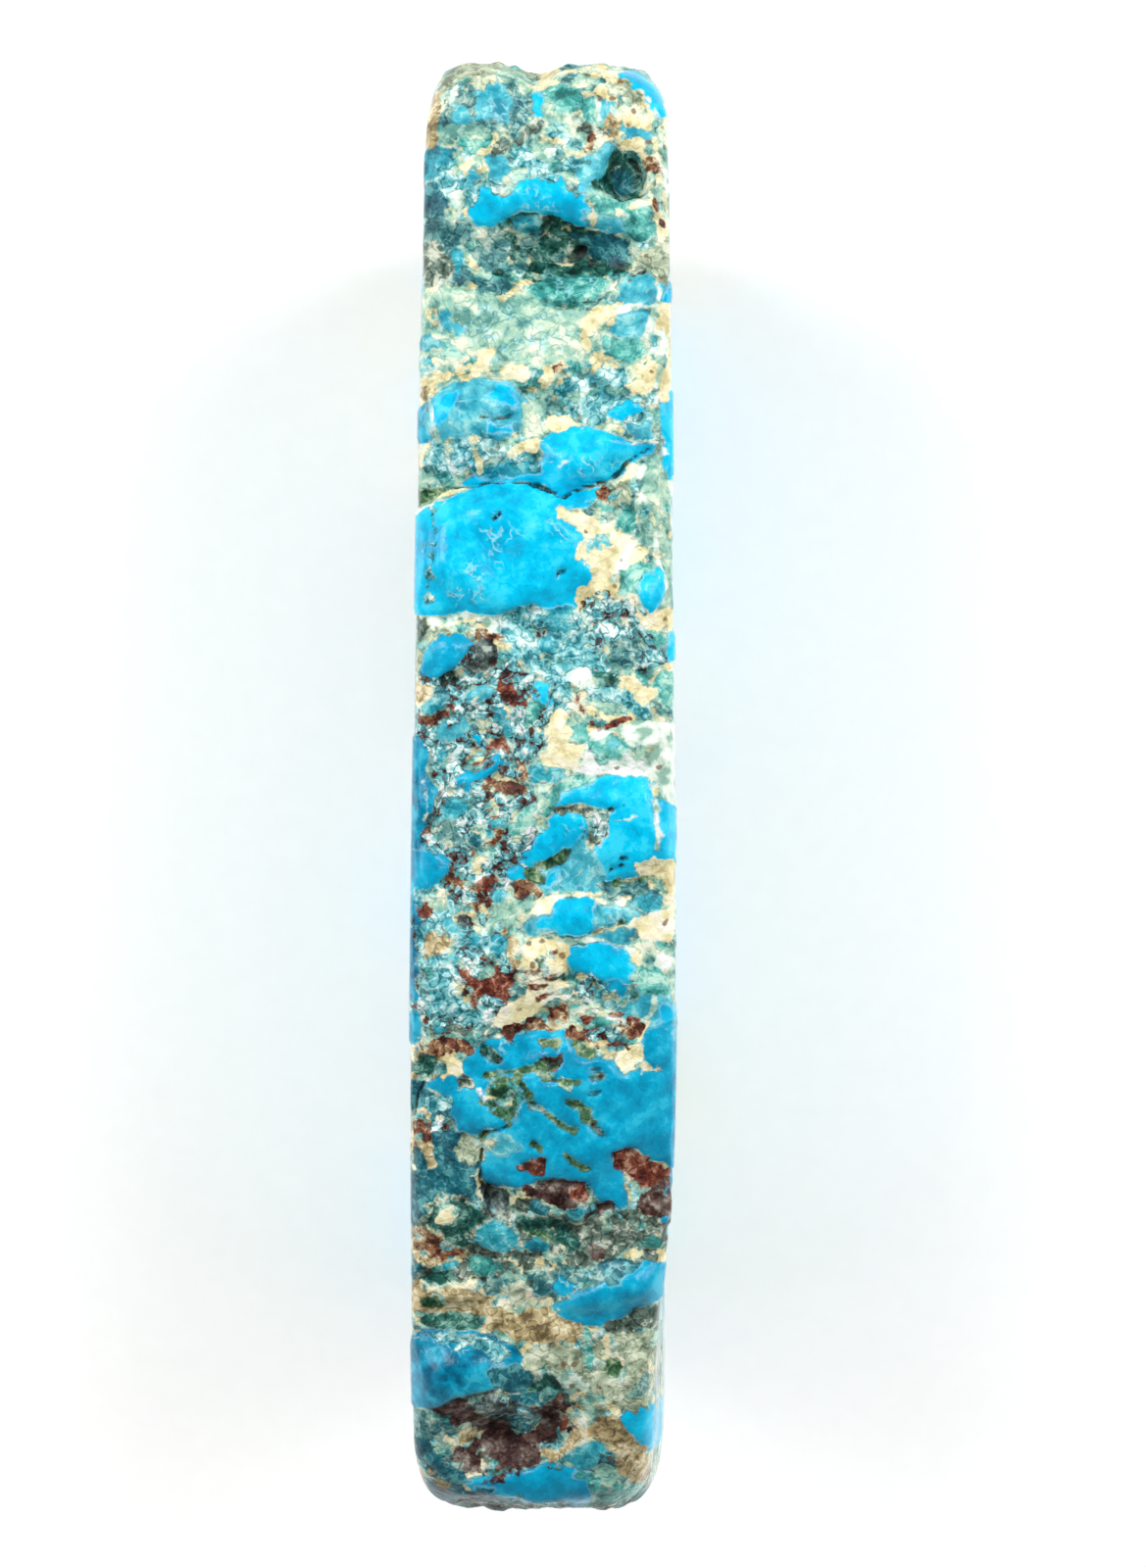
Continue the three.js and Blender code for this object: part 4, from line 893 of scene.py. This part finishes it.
    ("mint", "pale scrap of the foot", "606,1494 626,1496 630,1512 614,1518"),
    ("lead", "grey lip of the foot", "470,1530 500,1536 540,1540 580,1541 620,1538", 3.0),
    (FROST, "frost on the cushion's rim", "420,1364 456,1360 500,1370 524,1384 500,1392 450,1374 422,1380"),
    (FROST, "frost on the crystals", "480,1430 522,1426 546,1444 526,1460 500,1446"),
    (FROST, "frost on the broken blue", "540,1300 596,1294 650,1284 640,1300 590,1322 546,1322"),
    (FROST, "frost on the dark crystals", "488,1210 516,1210 512,1240 500,1240"),
    (DOTS, "dots in the sand", "560,1376 596,1380 640,1480 660,1490 630,1500 590,1460"),
]

MARKINGS = HEAD + HOLLOW + CUSHIONS + PLATE + CRUST + BLOCK + TONGUES + FIELD + FOOT


# ---------------------------------------------------------------- drawing the markings

def rock_noise(spots, size, layers=1, shift=0.0):
    """Natural unevenness from -1 to 1, with lumps about `size` mm across."""
    return np.array([noise.fractal(Vector(spot), 1.0, 2.0, layers) for spot in spots / size + shift])


def pebbles(spots, size, layers):
    """Rounded lumps about `size` mm across with sharp creases between them, from 0 to about 1."""
    return np.array([noise.turbulence(Vector(spot), layers, True) for spot in spots / size])


def ease(value, start, end):
    """0 before start, 1 after end and a soft climb between them."""
    share = np.clip((value - start) / (end - start), 0, 1)
    return share * share * (3 - 2 * share)


def grid_points(text):
    """The points of an outline or of a vein's middle line."""
    return np.array([[float(part) for part in pair.split(",")] for pair in text.split()])


def to_line(spots, start, end):
    """How far each spot lies from the straight line between two points."""
    way = end - start
    share = np.clip((spots - start) @ way / (way @ way), 0, 1)
    return np.linalg.norm(spots - start - share[:, None] * way, axis=1)


def depth_in_patch(spots, rim):
    """How deep each spot lies inside a closed rim; outside it, the distance counts down from 0."""
    nearest = np.full(len(spots), np.inf)
    inside = np.zeros(len(spots), bool)
    x, y = spots.T
    for start, end in zip(rim, np.roll(rim, -1, axis=0)):
        nearest = np.minimum(nearest, to_line(spots, start, end))
        if start[1] != end[1]:
            crosses_at = start[0] + (y - start[1]) / (end[1] - start[1]) * (end[0] - start[0])
            inside ^= ((start[1] > y) != (end[1] > y)) & (x < crosses_at)
    return np.where(inside, nearest, -nearest)


def depth_in_vein(spots, middle, half):
    """How deep each spot lies inside a vein, half of whose width is given."""
    nearest = [to_line(spots, start, end) for start, end in zip(middle[:-1], middle[1:])]
    return half - np.min(nearest, axis=0)


def on_grid(spots):
    """Where the camera sees each spot of the stone, on the drawing grid."""
    nearness = CAMERA_HIGH / (CAMERA_HIGH + EDGE_LEVEL - spots[:, 2]) * STEPS_PER_MM
    across = GRID_MIDDLE[0] + (spots[:, 0] - CAMERA_AT[0]) * nearness
    down = GRID_MIDDLE[1] - (spots[:, 1] - CAMERA_AT[1]) * nearness
    return np.stack([across, down], axis=1)


def drawn_fields(spots):
    """How deep every spot lies in each mineral's patches, in mm. A later patch hides what is under it."""
    seen = on_grid(spots)
    for size, sway in RIM_WANDER:
        seen[:, 0] += sway * rock_noise(spots, size, shift=3.7)
        seen[:, 1] += sway * rock_noise(spots, size, shift=9.1)
    reach = FIELD_REACH * STEPS_PER_MM
    fields = {name: np.full(len(spots), -FIELD_REACH) for name in [*MINERALS, FROST, DOTS, CRACKS]}
    for mineral, _, text, *vein in MARKINGS:
        points = grid_points(text)
        margin = reach + (vein[0] if vein else 0)
        near = np.all((seen > points.min(0) - margin) & (seen < points.max(0) + margin), axis=1)
        depth = depth_in_vein(seen[near], points, vein[0]) if vein else depth_in_patch(seen[near], points)
        depth = np.clip(depth / STEPS_PER_MM, -FIELD_REACH, FIELD_REACH)
        if mineral in MINERALS:
            for other in MINERALS:
                fields[other][near] = np.minimum(fields[other][near], -depth)
        fields[mineral][near] = np.maximum(fields[mineral][near], depth)
    return fields


# ---------------------------------------------------------------- the stone's shape

# The crust is a skin of pebbles on low swells: how wide they are, how high, and how deep the cracks go, in
# millimetres. A pebble's height is a multiple of its mineral's grain.
PEBBLE, PEBBLE_HEIGHT = 0.75, 3.6
SWELL, SWELL_HEIGHT = 1.7, 0.07
CRACK_DEPTH = 0.2

# How bumpy and how rough the stone is between the patches.
BARE_GRAIN, BARE_ROUGH = 0.05, 0.42


def fine_copy(node, name):
    """A smooth, finer copy of a CAD node's mesh."""
    stone = bmesh.new()
    stone.from_mesh(node.data)
    bmesh.ops.remove_doubles(stone, verts=stone.verts, dist=0.001 * MM)
    bmesh.ops.join_triangles(
        stone, faces=stone.faces, angle_face_threshold=math.pi, angle_shape_threshold=math.pi)
    coarse = bpy.data.meshes.new(name)
    stone.to_mesh(coarse)
    stone.free()
    piece = bpy.data.objects.new(name, coarse)
    bpy.context.scene.collection.objects.link(piece)
    smooth = piece.modifiers.new("smooth", "SUBSURF")
    smooth.levels = smooth.render_levels = 2
    finer = bpy.data.meshes.new_from_object(piece.evaluated_get(bpy.context.evaluated_depsgraph_get()))
    piece.modifiers.clear()
    piece.data = finer
    bpy.data.meshes.remove(coarse)
    finer.name = name
    return piece


def below_neighbours(mesh, relief, reach=6):
    """How far each vertex lies below the stone around it, in mm."""
    ends = np.empty(len(mesh.edges) * 2, np.int32)
    mesh.edges.foreach_get("vertices", ends)
    one, other = ends.reshape(-1, 2).T
    count = len(relief)
    neighbours = np.bincount(one, minlength=count) + np.bincount(other, minlength=count)
    around = relief
    for _ in range(reach):
        total = np.bincount(one, around[other], count) + np.bincount(other, around[one], count)
        around = total / neighbours
    return around - relief


def triples(rows, name):
    """What each row of a mesh, such as a vertex, has under this name, as three numbers."""
    values = np.empty(len(rows) * 3)
    rows.foreach_get(name, values)
    return values.reshape(-1, 3)


def crust_relief(spots, fields, drawn, rough_skin):
    """How far each spot stands out of the solid, in mm: its mineral's rise, the cracks and the crust."""
    relief = np.zeros(len(spots))
    grain = np.full(len(spots), BARE_GRAIN)
    for name, mineral in MINERALS.items():
        # Where two minerals meet, the stone climbs from one to the other over about 0.2 mm.
        share = ease(fields[name], -0.12, 0.1)
        relief += share * mineral.rise
        grain += share * (mineral.grain - grain)
    relief -= CRACK_DEPTH * ease(fields[CRACKS], -0.07, 0.07)
    relief *= drawn
    relief += rough_skin * grain * PEBBLE_HEIGHT * (pebbles(spots, PEBBLE, 3) - 0.5)
    relief += rough_skin * SWELL_HEIGHT * rock_noise(spots, SWELL, 2, shift=5.0)
    return relief


def stone_piece():
    """The slab, with the relief of its minerals, and the fields that its material reads."""
    piece = fine_copy(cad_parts["slab"], "turquoise_slab")
    mesh = piece.data
    spots = triples(mesh.vertices, "co") / MM
    facing = triples(mesh.vertex_normals, "vector")

    fields = drawn_fields(spots)
    # The drawn markings hold where the stone faces up; further round, the minerals go on as nodules.
    drawn = ease(facing[:, 2], 0.03, 0.15)
    for name in (FROST, DOTS, CRACKS):
        fields[name][drawn < 0.5] = -FIELD_REACH
    # The polish has taken the crust off the broad sides and the base.
    rough_skin = 1 - ease(abs(facing[:, 0]), 0.6, 0.9)
    rough_skin *= 1 - ease(-facing[:, 2], 0.5, 0.9)
    relief = crust_relief(spots, fields, drawn, rough_skin)
    # How far each spot lies below the stone around it; the material darkens these low spots as painted shade.
    sunk = below_neighbours(mesh, relief)

    spots += facing * relief[:, None]
    mesh.vertices.foreach_set("co", (spots * MM).ravel())
    for name, values in {**fields, "drawn": drawn, "skin": rough_skin, "sunk": sunk}.items():
        mesh.attributes.new(name, "FLOAT", "POINT").data.foreach_set("value", values.astype(np.float32))
    mesh.shade_smooth()
    mesh.update()
    return piece


# ---------------------------------------------------------------- materials

def add(tree, kind, links=(), **settings):
    """A new shader node with its settings. Links are {input: value, socket or node}, where a node stands for
    its first output in use."""
    node = tree.nodes.new("ShaderNode" + kind)
    for name, value in settings.items():
        setattr(node, name, value)
    for name, value in dict(links).items():
        if isinstance(value, bpy.types.Node):
            value = next(out for out in value.outputs if out.enabled)
        if isinstance(value, bpy.types.NodeSocket):
            tree.links.new(value, node.inputs[name])
        else:
            node.inputs[name].default_value = value
    return node


def new_material(name):
    material = bpy.data.materials.new(name)
    material.use_nodes = True
    material.node_tree.nodes.clear()
    return material, material.node_tree


# The noises that all minerals share: the size of their lumps in mm, their layers of detail and what each of
# their three channels is for.
CLOUDS = [
    (1.6, 3.0, ("mottle", "vein width", "iron")),
    (1.0, 4.0, ("first crumbs", "second crumbs", "third crumbs")),
    (0.65, 3.0, ("clots", "ragged", "flecks")),
    (0.5, 1.5, ("curly", "curlier", "fourth crumbs")),
]

# Winding lines where a noise passes its middle: the noise and how wide they are.
LINES = {"furrows": ("curly", 0.16), "ridges": ("curlier", 0.18)}

# Most of a noise keeps between these two values, which are stretched to 0 and 1.
NOISE_LOW, NOISE_HIGH = 0.33, 0.67

# Crushed grains, in mm: how wide they are and how far they are jostled out of their rows.
GRAIN, JOSTLE = 0.33, 0.4


def stone_textures(tree, place):
    """The noises, lines and grains of the stone by name, each from 0 to 1."""
    textures = {}
    for size, layers, names in CLOUDS:
        cloud = add(tree, "TexNoise", {"Vector": place, "Scale": 1 / size, "Detail": layers})
        split = add(tree, "SeparateColor", {"Color": cloud.outputs["Color"]})
        textures[names[0] + " sway"] = cloud.outputs["Color"]
        for name, channel in zip(names, split.outputs):
            textures[name] = add(tree, "MapRange", {
                "Value": channel, "From Min": NOISE_LOW, "From Max": NOISE_HIGH})
    for name, (source, width) in LINES.items():
        off = add(tree, "Math", {0: textures[source], 1: 0.5}, operation="SUBTRACT")
        away = add(tree, "Math", {0: off}, operation="ABSOLUTE")
        textures[name] = add(tree, "MapRange", {
            "Value": away, "From Max": width, "To Min": 1.0, "To Max": 0.0})
    both = add(tree, "Math", {0: textures["ridges"], 1: textures["furrows"]}, operation="SUBTRACT")
    textures["curls"] = add(tree, "Math", {0: both, 1: 0.5, 2: 0.5}, operation="MULTIPLY_ADD")

    # Crushed grains, each with its own shade.
    jostled = add(tree, "VectorMath", {
        0: textures["clots sway"], 1: (JOSTLE,) * 3, 2: place}, operation="MULTIPLY_ADD")
    grains = add(tree, "TexVoronoi", {"Vector": jostled, "Scale": 1 / GRAIN})
    textures["grains"] = add(tree, "SeparateColor", {"Color": grains.outputs["Color"]})
    textures["jostled"] = jostled
    return textures


def colours_of(tree, mineral, textures):
    """A mineral's own colours, spread by its mix of the textures."""
    value = 0.0
    for name, part in zip(("mottle", "clots", "curls", "grains"), mineral.play):
        if part:
            value = add(tree, "Math", {0: textures[name], 1: part, 2: value}, operation="MULTIPLY_ADD")
    colours = add(tree, "ValToRGB", {"Fac": value})
    stops = colours.color_ramp.elements
    while len(stops) < len(mineral.colours):
        stops.new(0.5)
    for index, code in enumerate(mineral.colours):
        stops[index].position = 0.25 + 0.5 * index / (len(mineral.colours) - 1)
        stops[index].color = linear(code)
    return colours


# The stone between the patches is a base of slate under crumbs of these minerals: which noise parts them and
# how much of the ground they take. The last number is how softly the crumbs end.
BETWEEN = [("mint", "first crumbs", 0.55), ("teal", "second crumbs", 0.3), ("cream", "third crumbs", 0.33),
           ("ice", "fourth crumbs", 0.15)]
CRUMB_SOFT = 0.12

# The drawn patches give way to the nodules in a ragged line between these two, where the stone turns down.
TURN_START, TURN_END = 0.6, 0.75

# A patch's border is soft by this much to either side, in mm. Just outside it lies a thin pale rind: how far
# out its middle is, and how far from that middle it is full and gone.
BORDER_SOFT = 0.045
RIND_OUT, RIND_FULL, RIND_GONE = 0.05, 0.02, 0.07
RIND_COLOUR = "#e9f1d9"


def minerals_laid_out(tree, textures, sides):
    """The stone's colour with each mineral in its patches, and its roughness and grain as red and green."""
    tints = {name: colours_of(tree, mineral, textures) for name, mineral in MINERALS.items()}
    drawn = add(tree, "Attribute", attribute_name="drawn").outputs["Fac"]
    seen = add(tree, "Math", {0: textures["ragged"], 1: 0.5, 2: drawn}, operation="MULTIPLY_ADD")
    on_top = add(tree, "MapRange", {"Value": seen, "From Min": TURN_START, "From Max": TURN_END})

    colour = tints["slate"]
    for name, noise_name, part in BETWEEN:
        share = add(tree, "MapRange", {
            "Value": textures[noise_name], "From Min": 1 - CRUMB_SOFT - part,
            "From Max": 1 + CRUMB_SOFT - part})
        colour = add(tree, "Mix", {"Factor": share, 6: colour, 7: tints[name]}, data_type="RGBA")
    finish = (BARE_ROUGH, BARE_GRAIN, 0.0, 1.0)

    for name, mineral in MINERALS.items():
        # The ragged noise eats into a patch at its rim.
        on_rough_edge = add(tree, "Attribute", attribute_name=name).outputs["Fac"]
        field = add(tree, "Mix", {"Factor": on_top, 2: sides.get(name, -FIELD_REACH), 3: on_rough_edge})
        inset = add(tree, "Math", {0: field, 1: mineral.under - mineral.ragged}, operation="ADD")
        edge = add(tree, "Math", {
            0: textures["ragged"], 1: mineral.ragged * 2, 2: inset}, operation="MULTIPLY_ADD")
        share = add(tree, "MapRange", {"Value": edge, "From Min": -BORDER_SOFT, "From Max": BORDER_SOFT})
        colour = add(tree, "Mix", {"Factor": share, 6: colour, 7: tints[name]}, data_type="RGBA")
        finish = add(tree, "Mix", {
            "Factor": share, 6: finish, 7: (mineral.rough, mineral.grain, 0.0, 1.0)}, data_type="RGBA")
        if mineral.rind:
            outside = add(tree, "Math", {0: edge, 1: RIND_OUT}, operation="ADD")
            off = add(tree, "Math", {0: outside}, operation="ABSOLUTE")
            rind = add(tree, "MapRange", {
                "Value": off, "From Min": RIND_FULL, "From Max": RIND_GONE, "To Min": mineral.rind,
                "To Max": 0.0})
            broken = add(tree, "Math", {0: rind, 1: textures["flecks"]}, operation="MULTIPLY")
            colour = add(tree, "Mix", {"Factor": broken, 6: colour, 7: linear(RIND_COLOUR)}, data_type="RGBA")
    return colour, finish


# What lies over the minerals: the depth in mm at which each begins to show, and at which it shows in full.
# The sunk entry is how far a spot lies below the stone around it, and carries painted shade in the low spots.
OVERLAYS = {FROST: (-0.15, 0.15), DOTS: (-0.1, 0.05), CRACKS: (-0.05, 0.04), "sunk": (0.03, 0.12)}

# Scuffs and crystal faces are winding lines, pale on the ridges and dark in the furrows of the bumps: partly
# real pale scuffs, partly painted glints and painted shade. Which lines, how strong, and their colour.
FROST_GLINT_AND_SHADE_LINES = [("ridges", 0.7, "#b4ecf3"), ("furrows", 0.5, "#2b8fa4")]

# Brown iron dots, in mm: how far apart they lie, half their width, how soft they are outside and inside that
# and how strong.
DOTS_APART, HALF_DOT = 0.7, 0.17
DOT_SOFT_OUT, DOT_SOFT_IN, DOT_STRENGTH = 0.06, 0.02, 0.8
DOT_COLOUR = "#75522f"

# Painted shade, a darkening that stands in for the shade in crevices: its colour, and how strong it is in the
# furrows of the crumbly minerals, in the low spots and in the cracks.
CREVICE_SHADE_COLOUR = "#58756b"
SHADE_IN_FURROWS, SHADE_IN_LOWS, SHADE_IN_CRACKS = 0.36, 0.75, 0.85


def overlaid(tree, textures, colour, crumbly):
    """The colour with what lies over the minerals: pale scuffs, partly painted glints and painted shade,
    brown iron dots, and painted shade in the furrows, the low spots and the cracks.
    """
    masks = {}
    for name, (start, end) in OVERLAYS.items():
        depth = add(tree, "Attribute", attribute_name=name).outputs["Fac"]
        masks[name] = add(tree, "MapRange", {"Value": depth, "From Min": start, "From Max": end})

    scuffed = add(tree, "MapRange", {"Value": textures["flecks"], "From Min": 0.4, "From Max": 0.7})
    frosty = add(tree, "Math", {0: masks[FROST], 1: scuffed}, operation="MULTIPLY")
    # Painted glints on the frost's ridges and painted shade in its furrows, over its pale scuffs.
    for lines, part, code in FROST_GLINT_AND_SHADE_LINES:
        strength = add(tree, "Math", {0: textures[lines], 1: part}, operation="MULTIPLY")
        share = add(tree, "Math", {0: frosty, 1: strength}, operation="MULTIPLY")
        colour = add(tree, "Mix", {"Factor": share, 6: colour, 7: linear(code)}, data_type="RGBA")

    spots = add(tree, "TexVoronoi", {"Vector": textures["jostled"], "Scale": 1 / DOTS_APART})
    size = add(tree, "Math", {0: masks[DOTS], 1: HALF_DOT}, operation="MULTIPLY")
    dot = add(tree, "Math", {0: size, 1: spots}, operation="SUBTRACT")
    share = add(tree, "MapRange", {
        "Value": dot, "From Min": -DOT_SOFT_OUT, "From Max": DOT_SOFT_IN, "To Max": DOT_STRENGTH})
    colour = add(tree, "Mix", {"Factor": share, 6: colour, 7: linear(DOT_COLOUR)}, data_type="RGBA")

    # Painted shade: the colour is darkened in the furrows, the low spots and the cracks, where shade falls.
    lined = add(tree, "Math", {0: textures["furrows"], 1: crumbly}, operation="MULTIPLY")
    for mask, part in ((lined, SHADE_IN_FURROWS), (masks["sunk"], SHADE_IN_LOWS),
                       (masks[CRACKS], SHADE_IN_CRACKS)):
        share = add(tree, "Math", {0: mask, 1: part}, operation="MULTIPLY")
        colour = add(tree, "Mix", {
            "Factor": share, 6: colour, 7: linear(CREVICE_SHADE_COLOUR)}, data_type="RGBA", blend_type="MULTIPLY")
    return colour


# How high clots and curls stand for a mineral's grain, and what the polish leaves of that and of the
# mineral's roughness.
CLOT_HEIGHT, CURL_HEIGHT = 1.6, 0.6
HEIGHT_LEFT, ROUGH_LEFT = 0.05, 0.45

# The grain below which a mineral is dense, and above which it is crumbly all through.
DENSE, CRUMBLY = 0.02, 0.07


def stone_bumps(tree, textures, skin, grain):
    """The finest relief: clots and curls, as high as the mineral is bumpy, and all but gone in the polish."""
    clots = add(tree, "Math", {0: textures["clots"], 1: CLOT_HEIGHT}, operation="MULTIPLY")
    bumps = add(tree, "Math", {0: textures["curls"], 1: CURL_HEIGHT, 2: clots}, operation="MULTIPLY_ADD")
    rise = add(tree, "MapRange", {"Value": skin, "To Min": HEIGHT_LEFT})
    rise = add(tree, "Math", {0: rise, 1: grain}, operation="MULTIPLY")
    height = add(tree, "Math", {0: bumps, 1: rise}, operation="MULTIPLY")
    return add(tree, "Bump", {"Height": height, "Strength": 1.0, "Distance": MM})


def polished_turquoise():
    """Natural turquoise in its host rock, tumbled and polished: dense blue that shines through a thin glassy
    polish, chalky veins and a dull granular crust, with painted shade in its low spots."""
    material, tree = new_material("natural_turquoise_in_matrix")
    place = add(tree, "VectorMath", {
        0: add(tree, "TexCoord").outputs["Object"], "Scale": 1 / MM}, operation="SCALE")
    textures = stone_textures(tree, place)
    colour, finish = minerals_laid_out(tree, textures, nodules(tree, place, textures))
    finish = add(tree, "SeparateColor", {"Color": finish})
    rough, grain = finish.outputs[0], finish.outputs[1]
    crumbly = add(tree, "MapRange", {"Value": grain, "From Min": DENSE, "From Max": CRUMBLY})
    colour = overlaid(tree, textures, colour, crumbly)

    skin = add(tree, "Attribute", attribute_name="skin").outputs["Fac"]
    dulled = add(tree, "MapRange", {"Value": skin, "To Min": ROUGH_LEFT})
    roughness = add(tree, "Math", {0: rough, 1: dulled}, operation="MULTIPLY")
    shader = add(tree, "BsdfPrincipled", {
        "Base Color": colour, "Roughness": roughness, "Normal": stone_bumps(tree, textures, skin, grain),
        "IOR": 1.5, "Specular IOR Level": 0.22, "Coat Weight": 0.06, "Coat Roughness": 0.1, "Coat IOR": 1.5})
    add(tree, "OutputMaterial", {"Surface": shader})
    return material


# The nodules inside the stone, in mm: how wide they are, and how far they are bent out of a regular shape
# as wholes and along their rims.
NODULE, BEND, FINE_BEND = 7.0, 6.0, 1.6

# Each nodule has a number of its own, and each mineral takes the nodules between two numbers. The last few
# are left as the stone is between the patches.
NODULES = [("blue", -1.0, 0.4), ("lake", 0.4, 0.62), ("aqua", 0.62, 0.78), ("azure", 0.78, 0.88),
           ("teal", 0.88, 0.95)]

# Half the width of the veins between them, in mm, from pinched out to widest, and how rich in iron a vein has
# to be to rust.
VEIN_PINCHED, VEIN_WIDEST = -0.05, 0.7
RUSTY = 0.72


def nodules(tree, place, textures):
    """The minerals inside the stone, where no marking is drawn: nodules, most of them blue, some green or
    chalky, parted by clay veins that swell and pinch out, with rust in the widest."""
    bend = add(tree, "TexNoise", {"Vector": place, "Scale": 1 / BEND, "Detail": 3.0}).outputs["Color"]
    bent = add(tree, "VectorMath", {0: bend, 1: (BEND,) * 3, 2: place}, operation="MULTIPLY_ADD")
    bent = add(tree, "VectorMath", {
        0: textures["mottle sway"], 1: (FINE_BEND,) * 3, 2: bent}, operation="MULTIPLY_ADD")
    cells = add(tree, "TexVoronoi", {"Vector": bent, "Scale": 1 / NODULE})
    walls = add(tree, "TexVoronoi", {"Vector": bent, "Scale": 1 / NODULE}, feature="DISTANCE_TO_EDGE")
    kind = add(tree, "SeparateColor", {"Color": cells.outputs["Color"]})
    half = add(tree, "MapRange", {
        "Value": textures["vein width"], "From Min": 0.2, "To Min": VEIN_PINCHED, "To Max": VEIN_WIDEST})
    to_wall = add(tree, "Math", {0: walls, 1: NODULE}, operation="MULTIPLY")
    vein = add(tree, "Math", {0: half, 1: to_wall}, operation="SUBTRACT")
    iron = add(tree, "Math", {0: textures["iron"], 1: RUSTY}, operation="SUBTRACT")
    fields = {"cream": vein, "rust": add(tree, "Math", {0: vein, 1: iron}, operation="MINIMUM")}

    for name, low, high in NODULES:
        gap = add(tree, "Math", {0: kind, 1: (low + high) / 2}, operation="SUBTRACT")
        off = add(tree, "Math", {0: gap}, operation="ABSOLUTE")
        half = (high - low) / 2
        fields[name] = add(tree, "MapRange", {
            "Value": off, "From Min": half - 0.001, "From Max": half + 0.001,
            "To Min": FIELD_REACH, "To Max": -FIELD_REACH})
    return fields


def matt_backdrop():
    """Matt white paper: soft, with a faint tooth, drawn coarse enough to show at 0.9 specks to a
    millimetre."""
    material, tree = new_material("matt_white_paper")
    place = add(tree, "TexCoord").outputs["Object"]
    tooth = add(tree, "TexNoise", {"Vector": place, "Scale": 0.9 / MM, "Detail": 2.0})
    tint = add(tree, "Mix", {"Factor": tooth, 6: linear("#f7f4f2"), 7: linear("#fbf8f6")}, data_type="RGBA")
    shader = add(tree, "BsdfPrincipled", {"Base Color": tint, "Roughness": 0.9})
    add(tree, "OutputMaterial", {"Surface": shader})
    return material


# ---------------------------------------------------------------- the scene

def floor_piece():
    """A square of paper under the stone."""
    half = 3.0
    corners = [(-half, -half, 0), (half, -half, 0), (half, half, 0), (-half, half, 0)]
    mesh = bpy.data.meshes.new("floor")
    mesh.from_pydata(corners, [], [(0, 1, 2, 3)])
    floor = bpy.data.objects.new("floor", mesh)
    bpy.context.scene.collection.objects.link(floor)
    mesh.materials.append(matt_backdrop())
    return floor


def aim(thing, target):
    """Turn a light towards a point."""
    thing.rotation_euler = (Vector(target) - thing.location).to_track_quat("-Z", "Y").to_euler()


def soft_light(name, at, target, size, power, receivers=None):
    """A round soft light, which lights the receivers alone if it has any."""
    lamp = bpy.data.lights.new(name, "AREA")
    lamp.shape = "DISK"
    lamp.size = size
    lamp.energy = power
    light = bpy.data.objects.new(name, lamp)
    light.location = at
    light.light_linking.receiver_collection = receivers
    bpy.context.scene.collection.objects.link(light)
    aim(light, target)


def lights(floor):
    """Windows on both sides of the stone, and lights for the paper that leave the stone alone."""
    paper = bpy.data.collections.new("paper")
    paper.objects.link(floor)
    edge = (0, 0.002, EDGE_LEVEL * MM)
    for side in (-1, 1):
        soft_light("window", (side * 0.06, 0.058, 0.132), edge, size=0.05, power=0.062)
        soft_light("floor light", (side * 0.9, 0.3, 0.5), (0, 0, 0), size=0.6, power=4.0)
        soft_light("paper light", (side * 0.11, -0.01, 0.032), (side * 0.03, -0.01, 0), size=0.12,
                   power=0.13, receivers=paper)


def pale_room():
    """A pale room, dimmer overhead, so that facets which lean to its walls glint."""
    world = bpy.data.worlds.new("pale room")
    world.use_nodes = True
    tree = world.node_tree
    way = add(tree, "SeparateXYZ", {0: add(tree, "TexCoord").outputs["Generated"]})
    strength = add(tree, "MapRange", {
        "Value": way.outputs["Z"], "From Min": 0.5, "From Max": 0.95, "To Min": 0.4, "To Max": 0.08})
    sky = tree.nodes["Background"]
    sky.inputs["Color"].default_value = linear("#ffffff")
    tree.links.new(strength.outputs[0], sky.inputs["Strength"])
    bpy.context.scene.world = world


def camera():
    """The camera, which looks straight down."""
    view = bpy.data.cameras.new("camera")
    view.lens, view.sensor_width = LENS, SENSOR
    view.clip_start, view.clip_end = 0.005, 20.0
    seat = bpy.data.objects.new("camera", view)
    seat.location = (CAMERA_AT[0] * MM, CAMERA_AT[1] * MM, (EDGE_LEVEL + CAMERA_HIGH) * MM)
    bpy.context.scene.collection.objects.link(seat)
    bpy.context.scene.camera = seat


camera()
lights(floor_piece())
pale_room()
stone = stone_piece()
stone.data.materials.append(polished_turquoise())
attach(stone, "root")
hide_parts("slab")
bpy.context.scene.view_settings.view_transform = "Standard"
